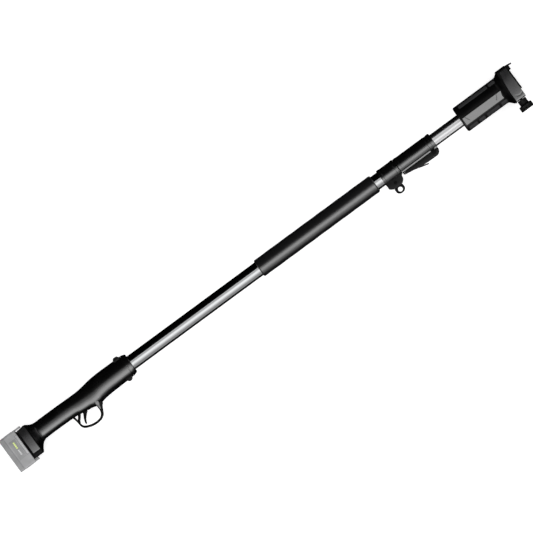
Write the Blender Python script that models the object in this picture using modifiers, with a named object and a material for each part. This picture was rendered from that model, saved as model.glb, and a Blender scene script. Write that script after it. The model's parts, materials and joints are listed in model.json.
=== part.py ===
"""Telescopic extension pole for a cordless garden tool.

The pole is drawn in its own axis frame, in millimetres: X runs along the pole from the rear face of the
battery pack to the tool end, Y points away from the trigger, and Z is square to both. The pole lies on its
side, resting on the -Z faces of the battery foot and of the tool adapter. Objects are stored in metres, with
the scene's origin on the floor under the middle of the pole.
"""

import math

import bmesh
import bpy
from mathutils import Matrix, Vector

MM = 0.001
GAP = 0.3  # left between pieces that touch
REACH = 40.0  # how far a cutter runs past what it cuts

# Driving dimensions, in millimetres
LENGTH = 1216.4
FLOOR_Z = -50.0
Y_LOW, Y_HIGH = -58.9, 35.2

OUTER_TUBE_R = 15.0
OUTER_TUBE_WALL = 1.5
OUTER_TUBE_X = (215.0, 923.8)
INNER_TUBE_R = 12.8
INNER_TUBE_WALL = 1.5
INNER_TUBE_X = (330.0, 1090.0)
TUBE_STEPS = 30

FOAM_X = (595.3, 870.8)
FOAM_R = 18.6
COLLAR_X = (885.7, 923.0)
COLLAR_R = 17.8
SLEEVE_X = (924.4, 1008.8)
SLEEVE_R = 17.0
SLEEVE_FLAT_Y = -14.2
EYE_CENTRE = (903.5, -36.9)
EYE_R, EYE_HOLE_R = 7.8, 4.6
EAR_SCREW_AT = (903.5, -22.5)
EAR_HALF = 9.0
EYE_HALF = 2.0
EYE_RING_HALF = 3.2  # the ring below the ears is thicker than the tab between them

FOOT_X = (39.0, 55.4)
FOOT_Y = (-38.2, 25.9)
FOOT_HALF = 46.0
NOSE_X = 281.9
SHELL_WALL = 2.6
GUARD_HALF = 6.5
SEAM = GAP / 2
PAST_SEAM = -1.0  # clamshell halves are drawn past the seam and trimmed there last

TRIGGER_PIVOT = (166.5, -13.0)
TRIGGER_HALF = 4.5
LEVER_PIVOT = (928.8, -17.9)
LEVER_HALF = 8.5
LEVER_KNUCKLE_R = 3.2
LUG_HALF = 3.7
CATCH_AT = (997.5, -18.5)
CATCH_R = 4.6

HEAD_X = (1074.0, 1180.5)
HEAD_Y = (-26.9, 27.6)
HEAD_HALF = 27.3
ADAPTER_X = (1181.0, 1202.0)
ADAPTER_Y = (-36.0, 35.2)
ADAPTER_HALF = 50.0
THUMB_X = 1191.5
THUMB_R = 3.0

PACK_X = (0.0, 35.1)
PACK_Y = (-44.3, 29.6)
PACK_Z = (-47.0, 61.0)
PACK_SPLIT_X = 9.6
PACK_WALL = 2.4
CELL_R, CELL_LENGTH, CELL_PITCH, CELL_COUNT = 9.15, 65.0, 19.6, 5
CELL_X = 11.7
TONGUE_Y = -3.0  # middle of the foot's tongue and of the pack's channel
TONGUE_Z = (-47.3, 33.0)
CHANNEL_END_Z = 41.5
BLADE_OFFSET = 6.0

SCREW_R, SCREW_HEAD_R = 1.5, 3.0
SCREW_BORE_R, SCREW_SEAT_R, SCREW_BOSS_R = 1.9, 3.4, 4.6
SCREW_HEAD_Z = (-12.9, -10.7)
SCREW_TIP_Z = 8.0
# x, y and the height of the post that takes the screw; a screw in a nose bump needs no post
HANDLE_POSTS = ((88.0, 0.0, 16.5), (153.0, 5.0, 15.2), (208.0, 10.5, 15.3))
HEAD_POSTS = tuple((x, y, 19.3) for x in (1100.0, 1155.0) for y in (17.0, -17.0))
BUMP_SCREWS = ((272.3, 23.3), (272.3, -23.3))

# Colour, roughness and metallic value of each kind of piece
BLACK_PLASTIC = ((0.012, 0.012, 0.013), 0.42, 0.0)
GREY_PLASTIC = ((0.25, 0.25, 0.26), 0.5, 0.0)
DARK_GREY_PLASTIC = ((0.09, 0.09, 0.095), 0.5, 0.0)
FOAM = ((0.015, 0.015, 0.016), 0.85, 0.0)
ALUMINIUM = ((0.78, 0.79, 0.80), 0.22, 1.0)
STEEL = ((0.55, 0.55, 0.56), 0.35, 1.0)
BRASS = ((0.78, 0.60, 0.30), 0.35, 1.0)
CELL_WRAP = ((0.10, 0.28, 0.45), 0.4, 0.0)
BOARD_GREEN = ((0.02, 0.20, 0.08), 0.5, 0.0)
CABLE_BLACK = ((0.02, 0.02, 0.02), 0.6, 0.0)
LEAD_RED = ((0.35, 0.02, 0.02), 0.5, 0.0)
LENS_GREEN = ((0.45, 0.62, 0.10), 0.3, 0.0)


# ---------------------------------------------------------------- scene and joints


def clear_scene():
    for obj in list(bpy.data.objects):
        bpy.data.objects.remove(obj, do_unlink=True)


def new_collection(name):
    collection = bpy.data.collections.new(name)
    bpy.context.scene.collection.children.link(collection)
    return collection


clear_scene()
parts = new_collection("extension_pole")
cutters = new_collection("cutters")


def joint_empty(name, place, parent=None):
    """An empty at a place in the pole's axis frame. Its children's meshes are drawn in that frame too."""
    empty = bpy.data.objects.new(name, None)
    empty.empty_display_size = 0.02
    parts.objects.link(empty)
    empty["place"] = place
    if parent is None:
        empty.location = Vector(place) * MM
    else:
        empty.parent = parent
        empty.location = (Vector(place) - Vector(parent["place"])) * MM
    return empty


floor_origin = joint_empty("floor_origin", (0.0, 0.0, 0.0))
floor_origin.location = Vector((-LENGTH / 2, -(Y_LOW + Y_HIGH) / 2, -FLOOR_Z)) * MM
tool_joint = joint_empty("pole_extend", (HEAD_X[0], 0.0, 0.0), floor_origin)
trigger_joint = joint_empty("trigger_pull", (*TRIGGER_PIVOT, 0.0), floor_origin)
plunger_joint = joint_empty("plunger_push", (171.0, -2.5, 0.0), floor_origin)
lever_joint = joint_empty("lever_flip", (*LEVER_PIVOT, 0.0), floor_origin)
pack_joint = joint_empty("battery_slide", (20.0, TONGUE_Y, 0.0), floor_origin)
button_joint = joint_empty("release_press", (32.5, -2.0, 58.0), pack_joint)
pad_joint = joint_empty("pad_travel", (THUMB_X, -20.0, 0.0), tool_joint)
knob_joint = joint_empty("knob_spin", (THUMB_X, -40.0, 0.0), pad_joint)


def attach(obj, joint):
    """Parent an object to a joint's empty without moving its drawn place."""
    obj.parent = joint
    obj.location -= Vector(joint["place"]) * MM


def dress(obj, look):
    """Give an object its own material and smooth shading on its round faces."""
    colour, roughness, metallic = look
    material = bpy.data.materials.new(obj.name)
    material.use_nodes = True
    shader = material.node_tree.nodes["Principled BSDF"]
    shader.inputs["Base Color"].default_value = (*colour, 1.0)
    shader.inputs["Roughness"].default_value = roughness
    shader.inputs["Metallic"].default_value = metallic
    obj.data.materials.append(material)
    obj.data.shade_smooth()
    obj.data.set_sharp_from_angle(angle=math.radians(35))


# ---------------------------------------------------------------- shapes, in millimetres


def block(low, high):
    """A box between two corners."""
    bm = bmesh.new()
    low, high = Vector(low), Vector(high)
    bmesh.ops.create_cube(bm, size=1.0)
    bmesh.ops.scale(bm, vec=high - low, verts=bm.verts)
    bmesh.ops.translate(bm, vec=(low + high) / 2, verts=bm.verts)
    return bm


def rod(start, end, radius, sides=20):
    """A solid cylinder between two points."""
    bm = bmesh.new()
    start, end = Vector(start), Vector(end)
    along = end - start
    turn = along.to_track_quat("Z", "Y").to_matrix().to_4x4()
    bmesh.ops.create_cone(
        bm, cap_ends=True, segments=sides, radius1=radius, radius2=radius, depth=along.length,
        matrix=Matrix.Translation((start + end) / 2) @ turn,
    )
    return bm


def plate(outline, z_low, z_high, holes=()):
    """A flat outline in the XY plane with holes through it, filled between two heights."""
    curve = bpy.data.curves.new("outline", "CURVE")
    curve.dimensions = "2D"
    curve.fill_mode = "BOTH"
    curve.extrude = (z_high - z_low) / 2
    for loop in (outline, *holes):
        spline = curve.splines.new("POLY")
        spline.points.add(len(loop) - 1)
        spline.use_cyclic_u = True
        for point, (x, y) in zip(spline.points, loop):
            point.co = (x, y, 0.0, 1.0)
    mesh = curve_mesh(curve)
    bm = bmesh.new()
    bm.from_mesh(mesh)
    bpy.data.meshes.remove(mesh)
    bmesh.ops.remove_doubles(bm, verts=bm.verts, dist=0.001)
    bmesh.ops.translate(bm, vec=(0.0, 0.0, (z_low + z_high) / 2), verts=bm.verts)
    return bm


def wire(points, radius):
    """A round wire through points, with its ends capped."""
    curve = bpy.data.curves.new("wire", "CURVE")
    curve.dimensions = "3D"
    curve.bevel_depth = radius
    curve.bevel_resolution = 2
    curve.use_fill_caps = True
    spline = curve.splines.new("POLY")
    spline.points.add(len(points) - 1)
    for point, place in zip(spline.points, points):
        point.co = (*place, 1.0)
    mesh = curve_mesh(curve)
    bm = bmesh.new()
    bm.from_mesh(mesh)
    bpy.data.meshes.remove(mesh)
    bmesh.ops.remove_doubles(bm, verts=bm.verts, dist=0.001)
    return bm


def coil(centre, radius, z_low, z_high, turns, per_turn):
    """Points of a helix that climbs along Z round a centre (x, y)."""
    x, y = centre
    steps = turns * per_turn
    return [
        (x + radius * math.cos(math.tau * i / per_turn), y + radius * math.sin(math.tau * i / per_turn),
         z_low + (z_high - z_low) * i / steps)
        for i in range(steps + 1)
    ]


def curve_mesh(curve):
    """The mesh that a curve makes. The curve itself is removed."""
    guide = bpy.data.objects.new("curve_guide", curve)
    cutters.objects.link(guide)
    depsgraph = bpy.context.evaluated_depsgraph_get()
    mesh = bpy.data.meshes.new_from_object(guide.evaluated_get(depsgraph))
    bpy.data.objects.remove(guide, do_unlink=True)
    bpy.data.curves.remove(curve)
    return mesh


def loft(rings):
    """A closed skin through rings that all have the same number of points."""
    bm = bmesh.new()
    loops = [[bm.verts.new(point) for point in ring] for ring in rings]
    for near, far in zip(loops, loops[1:]):
        for i in range(len(near)):
            j = (i + 1) % len(near)
            bm.faces.new((near[i], near[j], far[j], far[i]))
    bm.faces.new(loops[0])
    bm.faces.new(loops[-1])
    return bm


def arc(centre, radius, start, end, count):
    """Points round part of a circle, angles in degrees."""
    turns = [math.radians(start + (end - start) * i / count) for i in range(count + 1)]
    return [(centre[0] + radius * math.cos(t), centre[1] + radius * math.sin(t)) for t in turns]


def circle(centre, radius, count=20):
    return arc(centre, radius, 0.0, 360.0 * (count - 1) / count, count - 1)


# ---------------------------------------------------------------- turning shapes into objects


def store(name, bm, collection):
    """Keep a shape drawn in millimetres as an object in metres."""
    bmesh.ops.scale(bm, vec=(MM, MM, MM), verts=bm.verts)
    bmesh.ops.recalc_face_normals(bm, faces=bm.faces)
    mesh = bpy.data.meshes.new(name)
    bm.to_mesh(mesh)
    bm.free()
    obj = bpy.data.objects.new(name, mesh)
    collection.objects.link(obj)
    return obj


def piece(name, bm, look, joint=floor_origin, bevel=0.0, segments=2):
    """A named sub-part on a joint, with its sharp edges rounded by a bevel width in millimetres."""
    obj = store(name, bm, parts)
    dress(obj, look)
    attach(obj, joint)
    if bevel:
        soften = obj.modifiers.new("rounded_edges", "BEVEL")
        soften.width = bevel * MM
        soften.segments = segments
        soften.limit_method = "ANGLE"
        soften.angle_limit = math.radians(40)
    return obj


def turned(name, profile, look, joint=floor_origin, place=(0.0, 0.0, 0.0), along="X", steps=TUBE_STEPS):
    """A profile of (along, radius) points spun about a line through place that runs along X or -Y.

    The profile goes down its outer side, from the far end to the near end.
    """
    bm = bmesh.new()
    verts = [bm.verts.new((radius, 0.0, height)) for height, radius in profile]
    for low, high in zip(verts, verts[1:]):
        bm.edges.new((low, high))
    if profile[0][1] > 0.0:
        bm.edges.new((verts[-1], verts[0]))
    obj = store(name, bm, parts)
    obj.location = Vector(place) * MM
    obj.rotation_euler = (0.0, math.pi / 2, 0.0) if along == "X" else (math.pi / 2, 0.0, 0.0)
    dress(obj, look)
    attach(obj, joint)
    spin = obj.modifiers.new("spin", "SCREW")
    spin.axis = "Z"
    spin.steps = steps
    spin.render_steps = steps
    spin.use_merge_vertices = True
    spin.merge_threshold = 0.00001
    return obj


def combine(obj, bm, operation, joint=floor_origin):
    """Cut a shape out of an object, or join it on."""
    other = store(f"{obj.name}_{operation.lower()}", bm, cutters)
    other.hide_render = True
    other.display_type = "WIRE"
    attach(other, joint)
    change = obj.modifiers.new(operation.lower(), "BOOLEAN")
    change.operation = operation
    change.solver = "EXACT"
    change.object = other


def cut(obj, bm, joint=floor_origin):
    combine(obj, bm, "DIFFERENCE", joint)


def join(obj, bm, joint=floor_origin):
    combine(obj, bm, "UNION", joint)


def ring_profile(x_low, x_high, outer_r, inner_r, edge=0.4):
    """A plain tube's profile, with a small chamfer on its outer rims."""
    return (
        (x_high, outer_r - edge), (x_high - edge, outer_r), (x_low + edge, outer_r),
        (x_low, outer_r - edge), (x_low, inner_r), (x_high, inner_r),
    )


# ---------------------------------------------------------------- clamshell halves

OUTER_POINTS, INNER_POINTS = 12, 10


def half_oval(centre, half_height, half_width, power, count):
    """Points (y, z) round one half of a superellipse, from its top to its bottom, with its ends past the seam."""
    points = [(centre + half_height, PAST_SEAM)]
    for i in range(1, count):
        angle = math.pi * i / count
        rise = math.copysign(abs(math.cos(angle)) ** (2 / power), math.cos(angle))
        points.append((centre + half_height * rise, half_width * math.sin(angle) ** (2 / power)))
    points.append((centre - half_height, PAST_SEAM))
    return points


def shell_ring(x, y_low, y_high, half_width, power, wall=SHELL_WALL, core=0.0):
    """One C-shaped section of a clamshell half: a wall of even thickness, or solid down to a round core."""
    middle, half_height = (y_low + y_high) / 2, (y_high - y_low) / 2
    outer = half_oval(middle, half_height, half_width, power, OUTER_POINTS)
    if core:
        inner = half_oval(0.0, core, core, 2.0, INNER_POINTS)
    else:
        inner = half_oval(middle, half_height - wall, half_width - wall, power, INNER_POINTS)
    return [(x, y, z) for y, z in outer + inner[::-1]]


def half_piece(name, sections, side, look, joint=floor_origin):
    """A clamshell half through sections, on the +Z or the -Z side of the seam."""
    bm = loft([shell_ring(*section) for section in sections])
    return piece(name, on_side(bm, side), look, joint)


def trim_at_seam(shell, side, joint=floor_origin):
    cut(shell, on_side(block((-REACH, -2 * REACH, -REACH), (LENGTH, 2 * REACH, SEAM)), side), joint)


def on_side(bm, side):
    bmesh.ops.scale(bm, vec=(1.0, 1.0, side), verts=bm.verts)
    bmesh.ops.recalc_face_normals(bm, faces=bm.faces)
    return bm


def add_screw_posts(shell, posts, side, joint=floor_origin):
    """Posts that take the clamshell screws. The heads sit in seats on the -Z side."""
    for x, y, height in posts:
        join(shell, on_side(rod((x, y, PAST_SEAM), (x, y, height), SCREW_BOSS_R, 16), side), joint)
        add_screw_hole(shell, x, y, side, joint)


def add_screw_hole(shell, x, y, side, joint):
    tip = SCREW_TIP_Z + GAP
    cut(shell, rod((x, y, -REACH), (x, y, tip), SCREW_BORE_R, 12), joint)
    if side < 0:
        seat = SCREW_HEAD_Z[1] + GAP
        cut(shell, rod((x, y, -REACH), (x, y, seat), SCREW_SEAT_R, 16), joint)


def screw(name, x, y, joint=floor_origin):
    low, high = SCREW_HEAD_Z
    obj = piece(name, rod((x, y, low), (x, y, high), SCREW_HEAD_R, 12), STEEL, joint)
    join(obj, rod((x, y, high - 0.5), (x, y, SCREW_TIP_Z), SCREW_R, 8), joint)
    return obj


# ---------------------------------------------------------------- handle

# x, lowest y, highest y, half width in z, power
HANDLE_SECTIONS = (
    (FOOT_X[0], FOOT_Y[0], 23.4, FOOT_HALF, 8.0),
    (54.0, FOOT_Y[0], FOOT_Y[1], FOOT_HALF, 8.0),
    (FOOT_X[1], -37.6, 25.6, 45.4, 7.0),
    (58.3, -33.4, 23.9, 40.0, 5.0),
    (62.0, -28.7, 21.6, 32.5, 3.6),
    (66.0, -24.5, 19.7, 25.5, 2.9),
    (71.0, -21.2, 18.3, 20.8, 2.4),
    (78.0, -19.2, 17.7, 18.7, 2.2),
    (95.0, -18.9, 18.2, 18.5, 2.2),
    (125.0, -19.0, 18.2, 18.5, 2.2),
    (150.0, -19.8, 17.8, 18.5, 2.2),
    (160.0, -22.4, 17.7, 18.5, 2.2),
    (170.0, -23.5, 17.7, 18.7, 2.2),
    (180.0, -24.2, 18.2, 19.2, 2.2),
    (188.0, -26.4, 19.2, 20.0, 2.2),
    (196.0, -27.3, 20.4, 20.9, 2.1),
    (203.0, -27.1, 21.4, 21.8, 2.1),
    (211.0, -25.6, 22.3, 22.5, 2.0),
    (221.0, -24.4, 22.9, 23.2, 2.0),
    (236.0, -23.6, 23.2, 23.4, 2.0),
)
# the same with a round core that grips the outer tube
HANDLE_GRIP_SECTIONS = (
    (240.0, -23.5, 23.2, 23.4, 2.0, SHELL_WALL, OUTER_TUBE_R + 2 * GAP),
    (262.0, -23.2, 23.0, 23.1, 2.0, SHELL_WALL, OUTER_TUBE_R + 2 * GAP),
    (NOSE_X - GAP, -23.0, 23.0, 23.0, 2.0, SHELL_WALL, OUTER_TUBE_R + 2 * GAP),
)

GUARD_OUTLINE = (
    (139.2, -17.9), (139.6, -21.2), (141.4, -24.8), (142.4, -32.5), (143.3, -38.2), (145.4, -42.8),
    (150.0, -46.4), (155.7, -49.7), (161.5, -52.0), (167.2, -53.1), (174.9, -53.1), (180.6, -52.2),
    (186.3, -49.7), (190.1, -45.9), (194.0, -39.2), (197.8, -31.5), (201.2, -27.6), (201.2, -25.6),
    (187.0, -25.0), (189.4, -29.0), (190.1, -34.4), (188.2, -43.0), (185.4, -47.2), (180.6, -49.7),
    (173.0, -50.6), (165.3, -50.2), (157.7, -47.6), (150.0, -43.6), (146.6, -40.5), (146.0, -34.5),
    (155.0, -20.2), (155.0, -18.6),
)
GUARD_POCKET = ((143.6, -22.6), (150.7, -22.6), (146.0, -30.2), (144.7, -30.2))
TOP_BUMP = ((264.6, 20.5), (267.2, 26.4), (268.6, 27.3), (276.0, 27.3), (277.4, 26.4), (280.0, 20.5))
BOTTOM_BUMP = ((264.6, -20.5), (269.0, -26.4), (270.8, -27.3), (273.8, -27.3), (275.6, -26.4), (280.0, -20.5))
BUMP_HALF = 13.0
TRIGGER_SLOT_X = (155.8, 173.0)


def make_handle_shell(name, side):
    shell = half_piece(name, HANDLE_SECTIONS + HANDLE_GRIP_SECTIONS, side, BLACK_PLASTIC)
    join(shell, on_side(plate(GUARD_OUTLINE, PAST_SEAM, GUARD_HALF, (GUARD_POCKET,)), side))
    for bump in (TOP_BUMP, BOTTOM_BUMP):
        join(shell, on_side(plate(bump, PAST_SEAM, BUMP_HALF), side))
    add_screw_posts(shell, HANDLE_POSTS, side)
    for x, y in BUMP_SCREWS:
        add_screw_hole(shell, x, y, side, floor_origin)
    low, high = TRIGGER_SLOT_X
    cut(shell, block((low, -REACH, -TRIGGER_HALF - 0.8), (high, TRIGGER_PIVOT[1], TRIGGER_HALF + 0.8)))
    x, y = TRIGGER_PIVOT
    join(shell, on_side(rod((x, y, 9.2), (x, y, 14.0), 3.6, 16), side))
    cut(shell, rod((x, y, -12.3), (x, y, 12.3), 2.3, 16))
    trim_at_seam(shell, side)


def make_nose_ring():
    turned("nose_ring", (
        (292.0, 19.9), (291.0, 20.4), (284.5, 22.9), (NOSE_X, 23.0),
        (NOSE_X, OUTER_TUBE_R + GAP), (292.0, OUTER_TUBE_R + GAP),
    ), BLACK_PLASTIC)


def make_battery_socket():
    """The foot's floor: a flange on the shells' rear rims, a T-shaped tongue and a stop wall for the pack."""
    socket = piece("battery_socket", block(
        (FOOT_X[0] - GAP - 3.0, FOOT_Y[0], FLOOR_Z), (FOOT_X[0] - GAP, 23.3, FOOT_HALF)
    ), DARK_GREY_PLASTIC)
    join(socket, chamfered_block((38.0, -33.4, -41.5), (50.0, 18.8, 41.5), 9.0))
    low, high = TONGUE_Z
    join(socket, block((26.0, TONGUE_Y - 15, low), (37.0, TONGUE_Y + 15, high)))
    join(socket, block((23.0, TONGUE_Y - 22, low), (28.5, TONGUE_Y + 22, high)))
    join(socket, block((22.0, -32.0, FLOOR_Z), (37.0, 18.0, low + 0.2)))


def chamfered_block(low, high, chamfer):
    """A box whose four edges along X are cut off."""
    y0, y1, z0, z1 = low[1], high[1], low[2], high[2]
    c = chamfer
    ring = (
        (y0 + c, z0), (y1 - c, z0), (y1, z0 + c), (y1, z1 - c),
        (y1 - c, z1), (y0 + c, z1), (y0, z1 - c), (y0, z0 + c),
    )
    return loft([[(x, y, z) for y, z in ring] for x in (low[0], high[0])])


def make_terminals():
    z0, z1 = TONGUE_Z[1] + GAP, 39.5
    piece("terminal_block", block((23.3, TONGUE_Y - 15, z0), (29.7, TONGUE_Y + 15, z1)), BLACK_PLASTIC)
    for name, offset in (("terminal_blade_1", -BLADE_OFFSET), ("terminal_blade_2", BLADE_OFFSET)):
        y = TONGUE_Y + offset
        piece(name, block((24.5, y - 0.4, z1 + GAP), (28.7, y + 0.4, 50.5)), BRASS)


def make_trigger():
    """The blade under the finger, the root in the slot and the arm that pushes the switch plunger."""
    x, y = TRIGGER_PIVOT
    nose = (x + 0.2, y + 10.5)
    outline = (
        [(153.0, -41.3), (153.6, -36.5), (156.0, -31.6), (160.0, -26.4), (161.5, -20.0)]
        + arc((x, y), 5.4, 205, 130, 4)
        + arc(nose, 3.0, 180, 0, 8)
        + arc((x, y), 5.4, 50, -30, 4)
        + [(170.6, -20.0), (169.2, -24.8), (163.4, -29.4), (159.2, -34.2), (156.8, -38.4), (155.4, -41.9)]
    )
    bore = circle((x, y), 2.15, 16)
    piece("trigger", plate(outline, -TRIGGER_HALF, TRIGGER_HALF, (bore,)), BLACK_PLASTIC, trigger_joint, 0.7, 1)
    piece("trigger_pin", rod((x, y, -12.0), (x, y, 12.0), 2.0, 16), STEEL)
    piece("trigger_spring", wire(coil(TRIGGER_PIVOT, 3.2, 5.4, 8.2, 3, 9), 0.35), STEEL, trigger_joint)


def make_switch():
    y = -2.5
    switch = piece("trigger_switch", block((176.0, -16.0, -9.0), (202.0, 8.0, 9.0)), DARK_GREY_PLASTIC)
    cut(switch, rod((170.0, y, 0.0), (184.0, y, 0.0), 2.9, 16))
    turned("switch_plunger", (
        (180.0, 0.0), (180.0, 2.3), (171.3, 2.3), (170.2, 1.6), (170.2, 0.0),
    ), BLACK_PLASTIC, plunger_joint, (0.0, y, 0.0), steps=16)
    piece("control_board", block((100.0, -8.0, -6.0), (140.0, 8.0, -4.4)), BOARD_GREEN)


def make_leads():
    battery = (
        (50.4, -8, 0), (56, -8, 0), (68, -8.5, -3), (80, -9, -5), (90, -9, -6), (96, -6, -5.2), (99.5, -6, -5.2),
    )
    switch = (
        (140.5, -4, -5.2), (144, -4, -5.2), (150, -2, -9), (166, 1, -9.5), (172, 2, -6), (175.6, 2, -6),
    )
    piece("battery_lead", wire(battery, 1.6), LEAD_RED)
    piece("switch_lead", wire(switch, 1.6), LEAD_RED)


def make_handle():
    make_handle_shell("handle_shell_front", 1)
    make_handle_shell("handle_shell_back", -1)
    places = [(x, y) for x, y, _ in HANDLE_POSTS] + list(BUMP_SCREWS)
    for number, (x, y) in enumerate(places, 1):
        screw(f"handle_screw_{number}", x, y)
    make_nose_ring()
    make_battery_socket()
    make_terminals()
    make_trigger()
    make_switch()
    make_leads()


# ---------------------------------------------------------------- tubes, grip and coiled cable


def make_tubes():
    outer_bore = OUTER_TUBE_R - OUTER_TUBE_WALL
    inner_bore = INNER_TUBE_R - INNER_TUBE_WALL
    turned("outer_tube", ring_profile(*OUTER_TUBE_X, OUTER_TUBE_R, outer_bore), ALUMINIUM)
    turned("inner_tube", ring_profile(*INNER_TUBE_X, INNER_TUBE_R, inner_bore), ALUMINIUM, tool_joint)
    rear = INNER_TUBE_X[0]
    turned("guide_bush", ring_profile(rear - 10, rear - GAP, outer_bore - 0.2, 8.0), BLACK_PLASTIC, tool_joint)
    turned("foam_grip", ring_profile(*FOAM_X, FOAM_R, OUTER_TUBE_R + GAP, 0.9), FOAM)
    cable = [(204.0 + 33.0 * i, 0.0, 0.0) for i in range(27)]
    piece("coiled_cable", wire(cable, 5.0), CABLE_BLACK)


# ---------------------------------------------------------------- clamp


def make_collar():
    rough_bore = OUTER_TUBE_R - 0.5  # opened to its size once the ears are on
    collar = turned("clamp_collar", ring_profile(*COLLAR_X, COLLAR_R, rough_bore, 0.8), BLACK_PLASTIC)
    ears = (
        (COLLAR_X[0] + 0.2, -12.0), (COLLAR_X[0] + 0.2, -26.8), (894.3, -31.5), (912.5, -31.5),
        (920.0, -26.0), (COLLAR_X[1] - 0.8, -15.5), (COLLAR_X[1] - 0.8, -12.0),
    )
    join(collar, plate(ears, -EAR_HALF, EAR_HALF))
    cut(collar, rod((COLLAR_X[0] - 1, 0, 0), (COLLAR_X[1] + 1, 0, 0), OUTER_TUBE_R + GAP, TUBE_STEPS))
    slot = EYE_HALF + GAP
    cut(collar, block((COLLAR_X[0] - 5, -REACH, -slot), (COLLAR_X[1] + 5, -18.3, slot)))
    x, y = EAR_SCREW_AT
    cut(collar, rod((x, y, -REACH), (x, y, REACH), 2.5, 16))


def make_harness_eye():
    outline = [(888.5, -18.7), (888.5, -25.6), (893.5, -29.4)]
    outline += arc(EYE_CENTRE, EYE_R, 185, 355, 14)
    outline += [(913.6, -29.4), (918.5, -24.8), (919.4, -18.7)]
    screw_hole = circle(EAR_SCREW_AT, 2.4, 16)
    hole = circle(EYE_CENTRE, EYE_HOLE_R)
    eye = piece("harness_eye", plate(outline, -EYE_HALF, EYE_HALF, (hole, screw_hole)), STEEL)
    join(eye, plate(arc(EYE_CENTRE, EYE_R, 140.0, 400.0, 20), -EYE_RING_HALF, EYE_RING_HALF, (hole,)))
    x, y = EAR_SCREW_AT
    bolt = piece("bracket_screw", rod((x, y, EAR_HALF + GAP), (x, y, EAR_HALF + 2.3), 3.2, 16), STEEL)
    join(bolt, rod((x, y, -EAR_HALF - 1.0), (x, y, EAR_HALF + 1.0), 2.0, 12))


def make_sleeve():
    """The clamp body on the end of the outer tube: a flat bed for the lever, its hinge lug and its catch."""
    low, high = SLEEVE_X
    sleeve = turned("clamp_sleeve", ring_profile(low, high, SLEEVE_R, INNER_TUBE_R + GAP, 0.8), BLACK_PLASTIC)
    cut(sleeve, block((low + 0.9, -REACH, -REACH), (high + 5, SLEEVE_FLAT_Y, REACH)))
    lug = [(926.0, -13.5)] + arc(LEVER_PIVOT, 2.8, 180, 360, 8) + [(931.6, -13.5)]
    join(sleeve, plate(lug, -LUG_HALF, LUG_HALF))
    x, y = CATCH_AT
    catch = [(x - 3.2, -13.4)] + arc(CATCH_AT, CATCH_R, 150, 390, 10) + [(x + 3.2, -13.4)]
    join(sleeve, plate(catch, -LUG_HALF, LUG_HALF))
    cut(sleeve, rod((*LEVER_PIVOT, -REACH), (*LEVER_PIVOT, REACH), 1.85, 12))
    cut(sleeve, block((939.7, -REACH, -5.3), (960.3, -12.0, 5.3)))
    piece("brake_shoe", block((940.0, SLEEVE_FLAT_Y, -5.0), (960.0, -13.15, 5.0)), CABLE_BLACK)
    piece("lever_pin", rod((*LEVER_PIVOT, -8.3), (*LEVER_PIVOT, 8.3), 1.5, 12), STEEL)


def make_lever():
    """The flip lever: forked round the hinge lug and the catch, with a finger tab under its middle."""
    top = LEVER_PIVOT[1] + LEVER_KNUCKLE_R
    outline = arc(LEVER_PIVOT, LEVER_KNUCKLE_R, 90, 270, 8)
    outline += [(945.0, -23.6), (957.0, -26.3), (976.3, -31.0), (976.9, -29.8), (964.0, -26.4), (972.0, -27.0)]
    outline += arc((997.4, -17.0), 10.9, -95, 0, 8) + [(1006.8, top)]
    lever = piece("clamp_lever", plate(outline, -LEVER_HALF, LEVER_HALF), DARK_GREY_PLASTIC, lever_joint)
    slot = LUG_HALF + 0.4
    cut(lever, block((920.0, -REACH, -slot), (935.0, 0.0, slot)), lever_joint)
    cut(lever, block((990.0, -24.5, -slot), (1006.0, 0.0, slot)), lever_joint)
    cut(lever, rod((*LEVER_PIVOT, -REACH), (*LEVER_PIVOT, REACH), 1.65, 12), lever_joint)


# ---------------------------------------------------------------- tool end

HEAD_CORE = INNER_TUBE_R + 2 * GAP
HEAD_WALL = 2.8
FULL = (HEAD_Y[0], HEAD_Y[1], HEAD_HALF, 2.5)
HEAD_SECTIONS = (
    (HEAD_X[0], -24.6, 25.2, 25.0, 2.5, HEAD_WALL, HEAD_CORE),
    (1075.2, -26.3, 27.0, 26.7, 2.5, HEAD_WALL, HEAD_CORE),
    (1077.2, *FULL, HEAD_WALL, HEAD_CORE),
    (1077.9, *FULL),
    (1086.0, *FULL),
    (1086.7, *FULL, HEAD_WALL, HEAD_CORE),
    (1089.3, *FULL, HEAD_WALL, HEAD_CORE),
    (1090.0, *FULL),
    (1164.0, *FULL),
    (1168.5, -27.6, 27.6, 29.5, 2.8),
    (1172.5, -31.0, 27.9, 35.5, 3.4),
    (1176.5, -35.2, 29.8, 42.0, 4.4),
    (HEAD_X[1], -37.6, 33.4, 46.5, 5.6),
)


def make_head_housing():
    for name, side in (("head_housing_front", 1), ("head_housing_back", -1)):
        shell = half_piece(name, HEAD_SECTIONS, side, BLACK_PLASTIC, tool_joint)
        add_screw_posts(shell, HEAD_POSTS, side, tool_joint)
        trim_at_seam(shell, side, tool_joint)
    for number, (x, y, _) in enumerate(HEAD_POSTS, 1):
        screw(f"head_screw_{number}", x, y, tool_joint)


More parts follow.
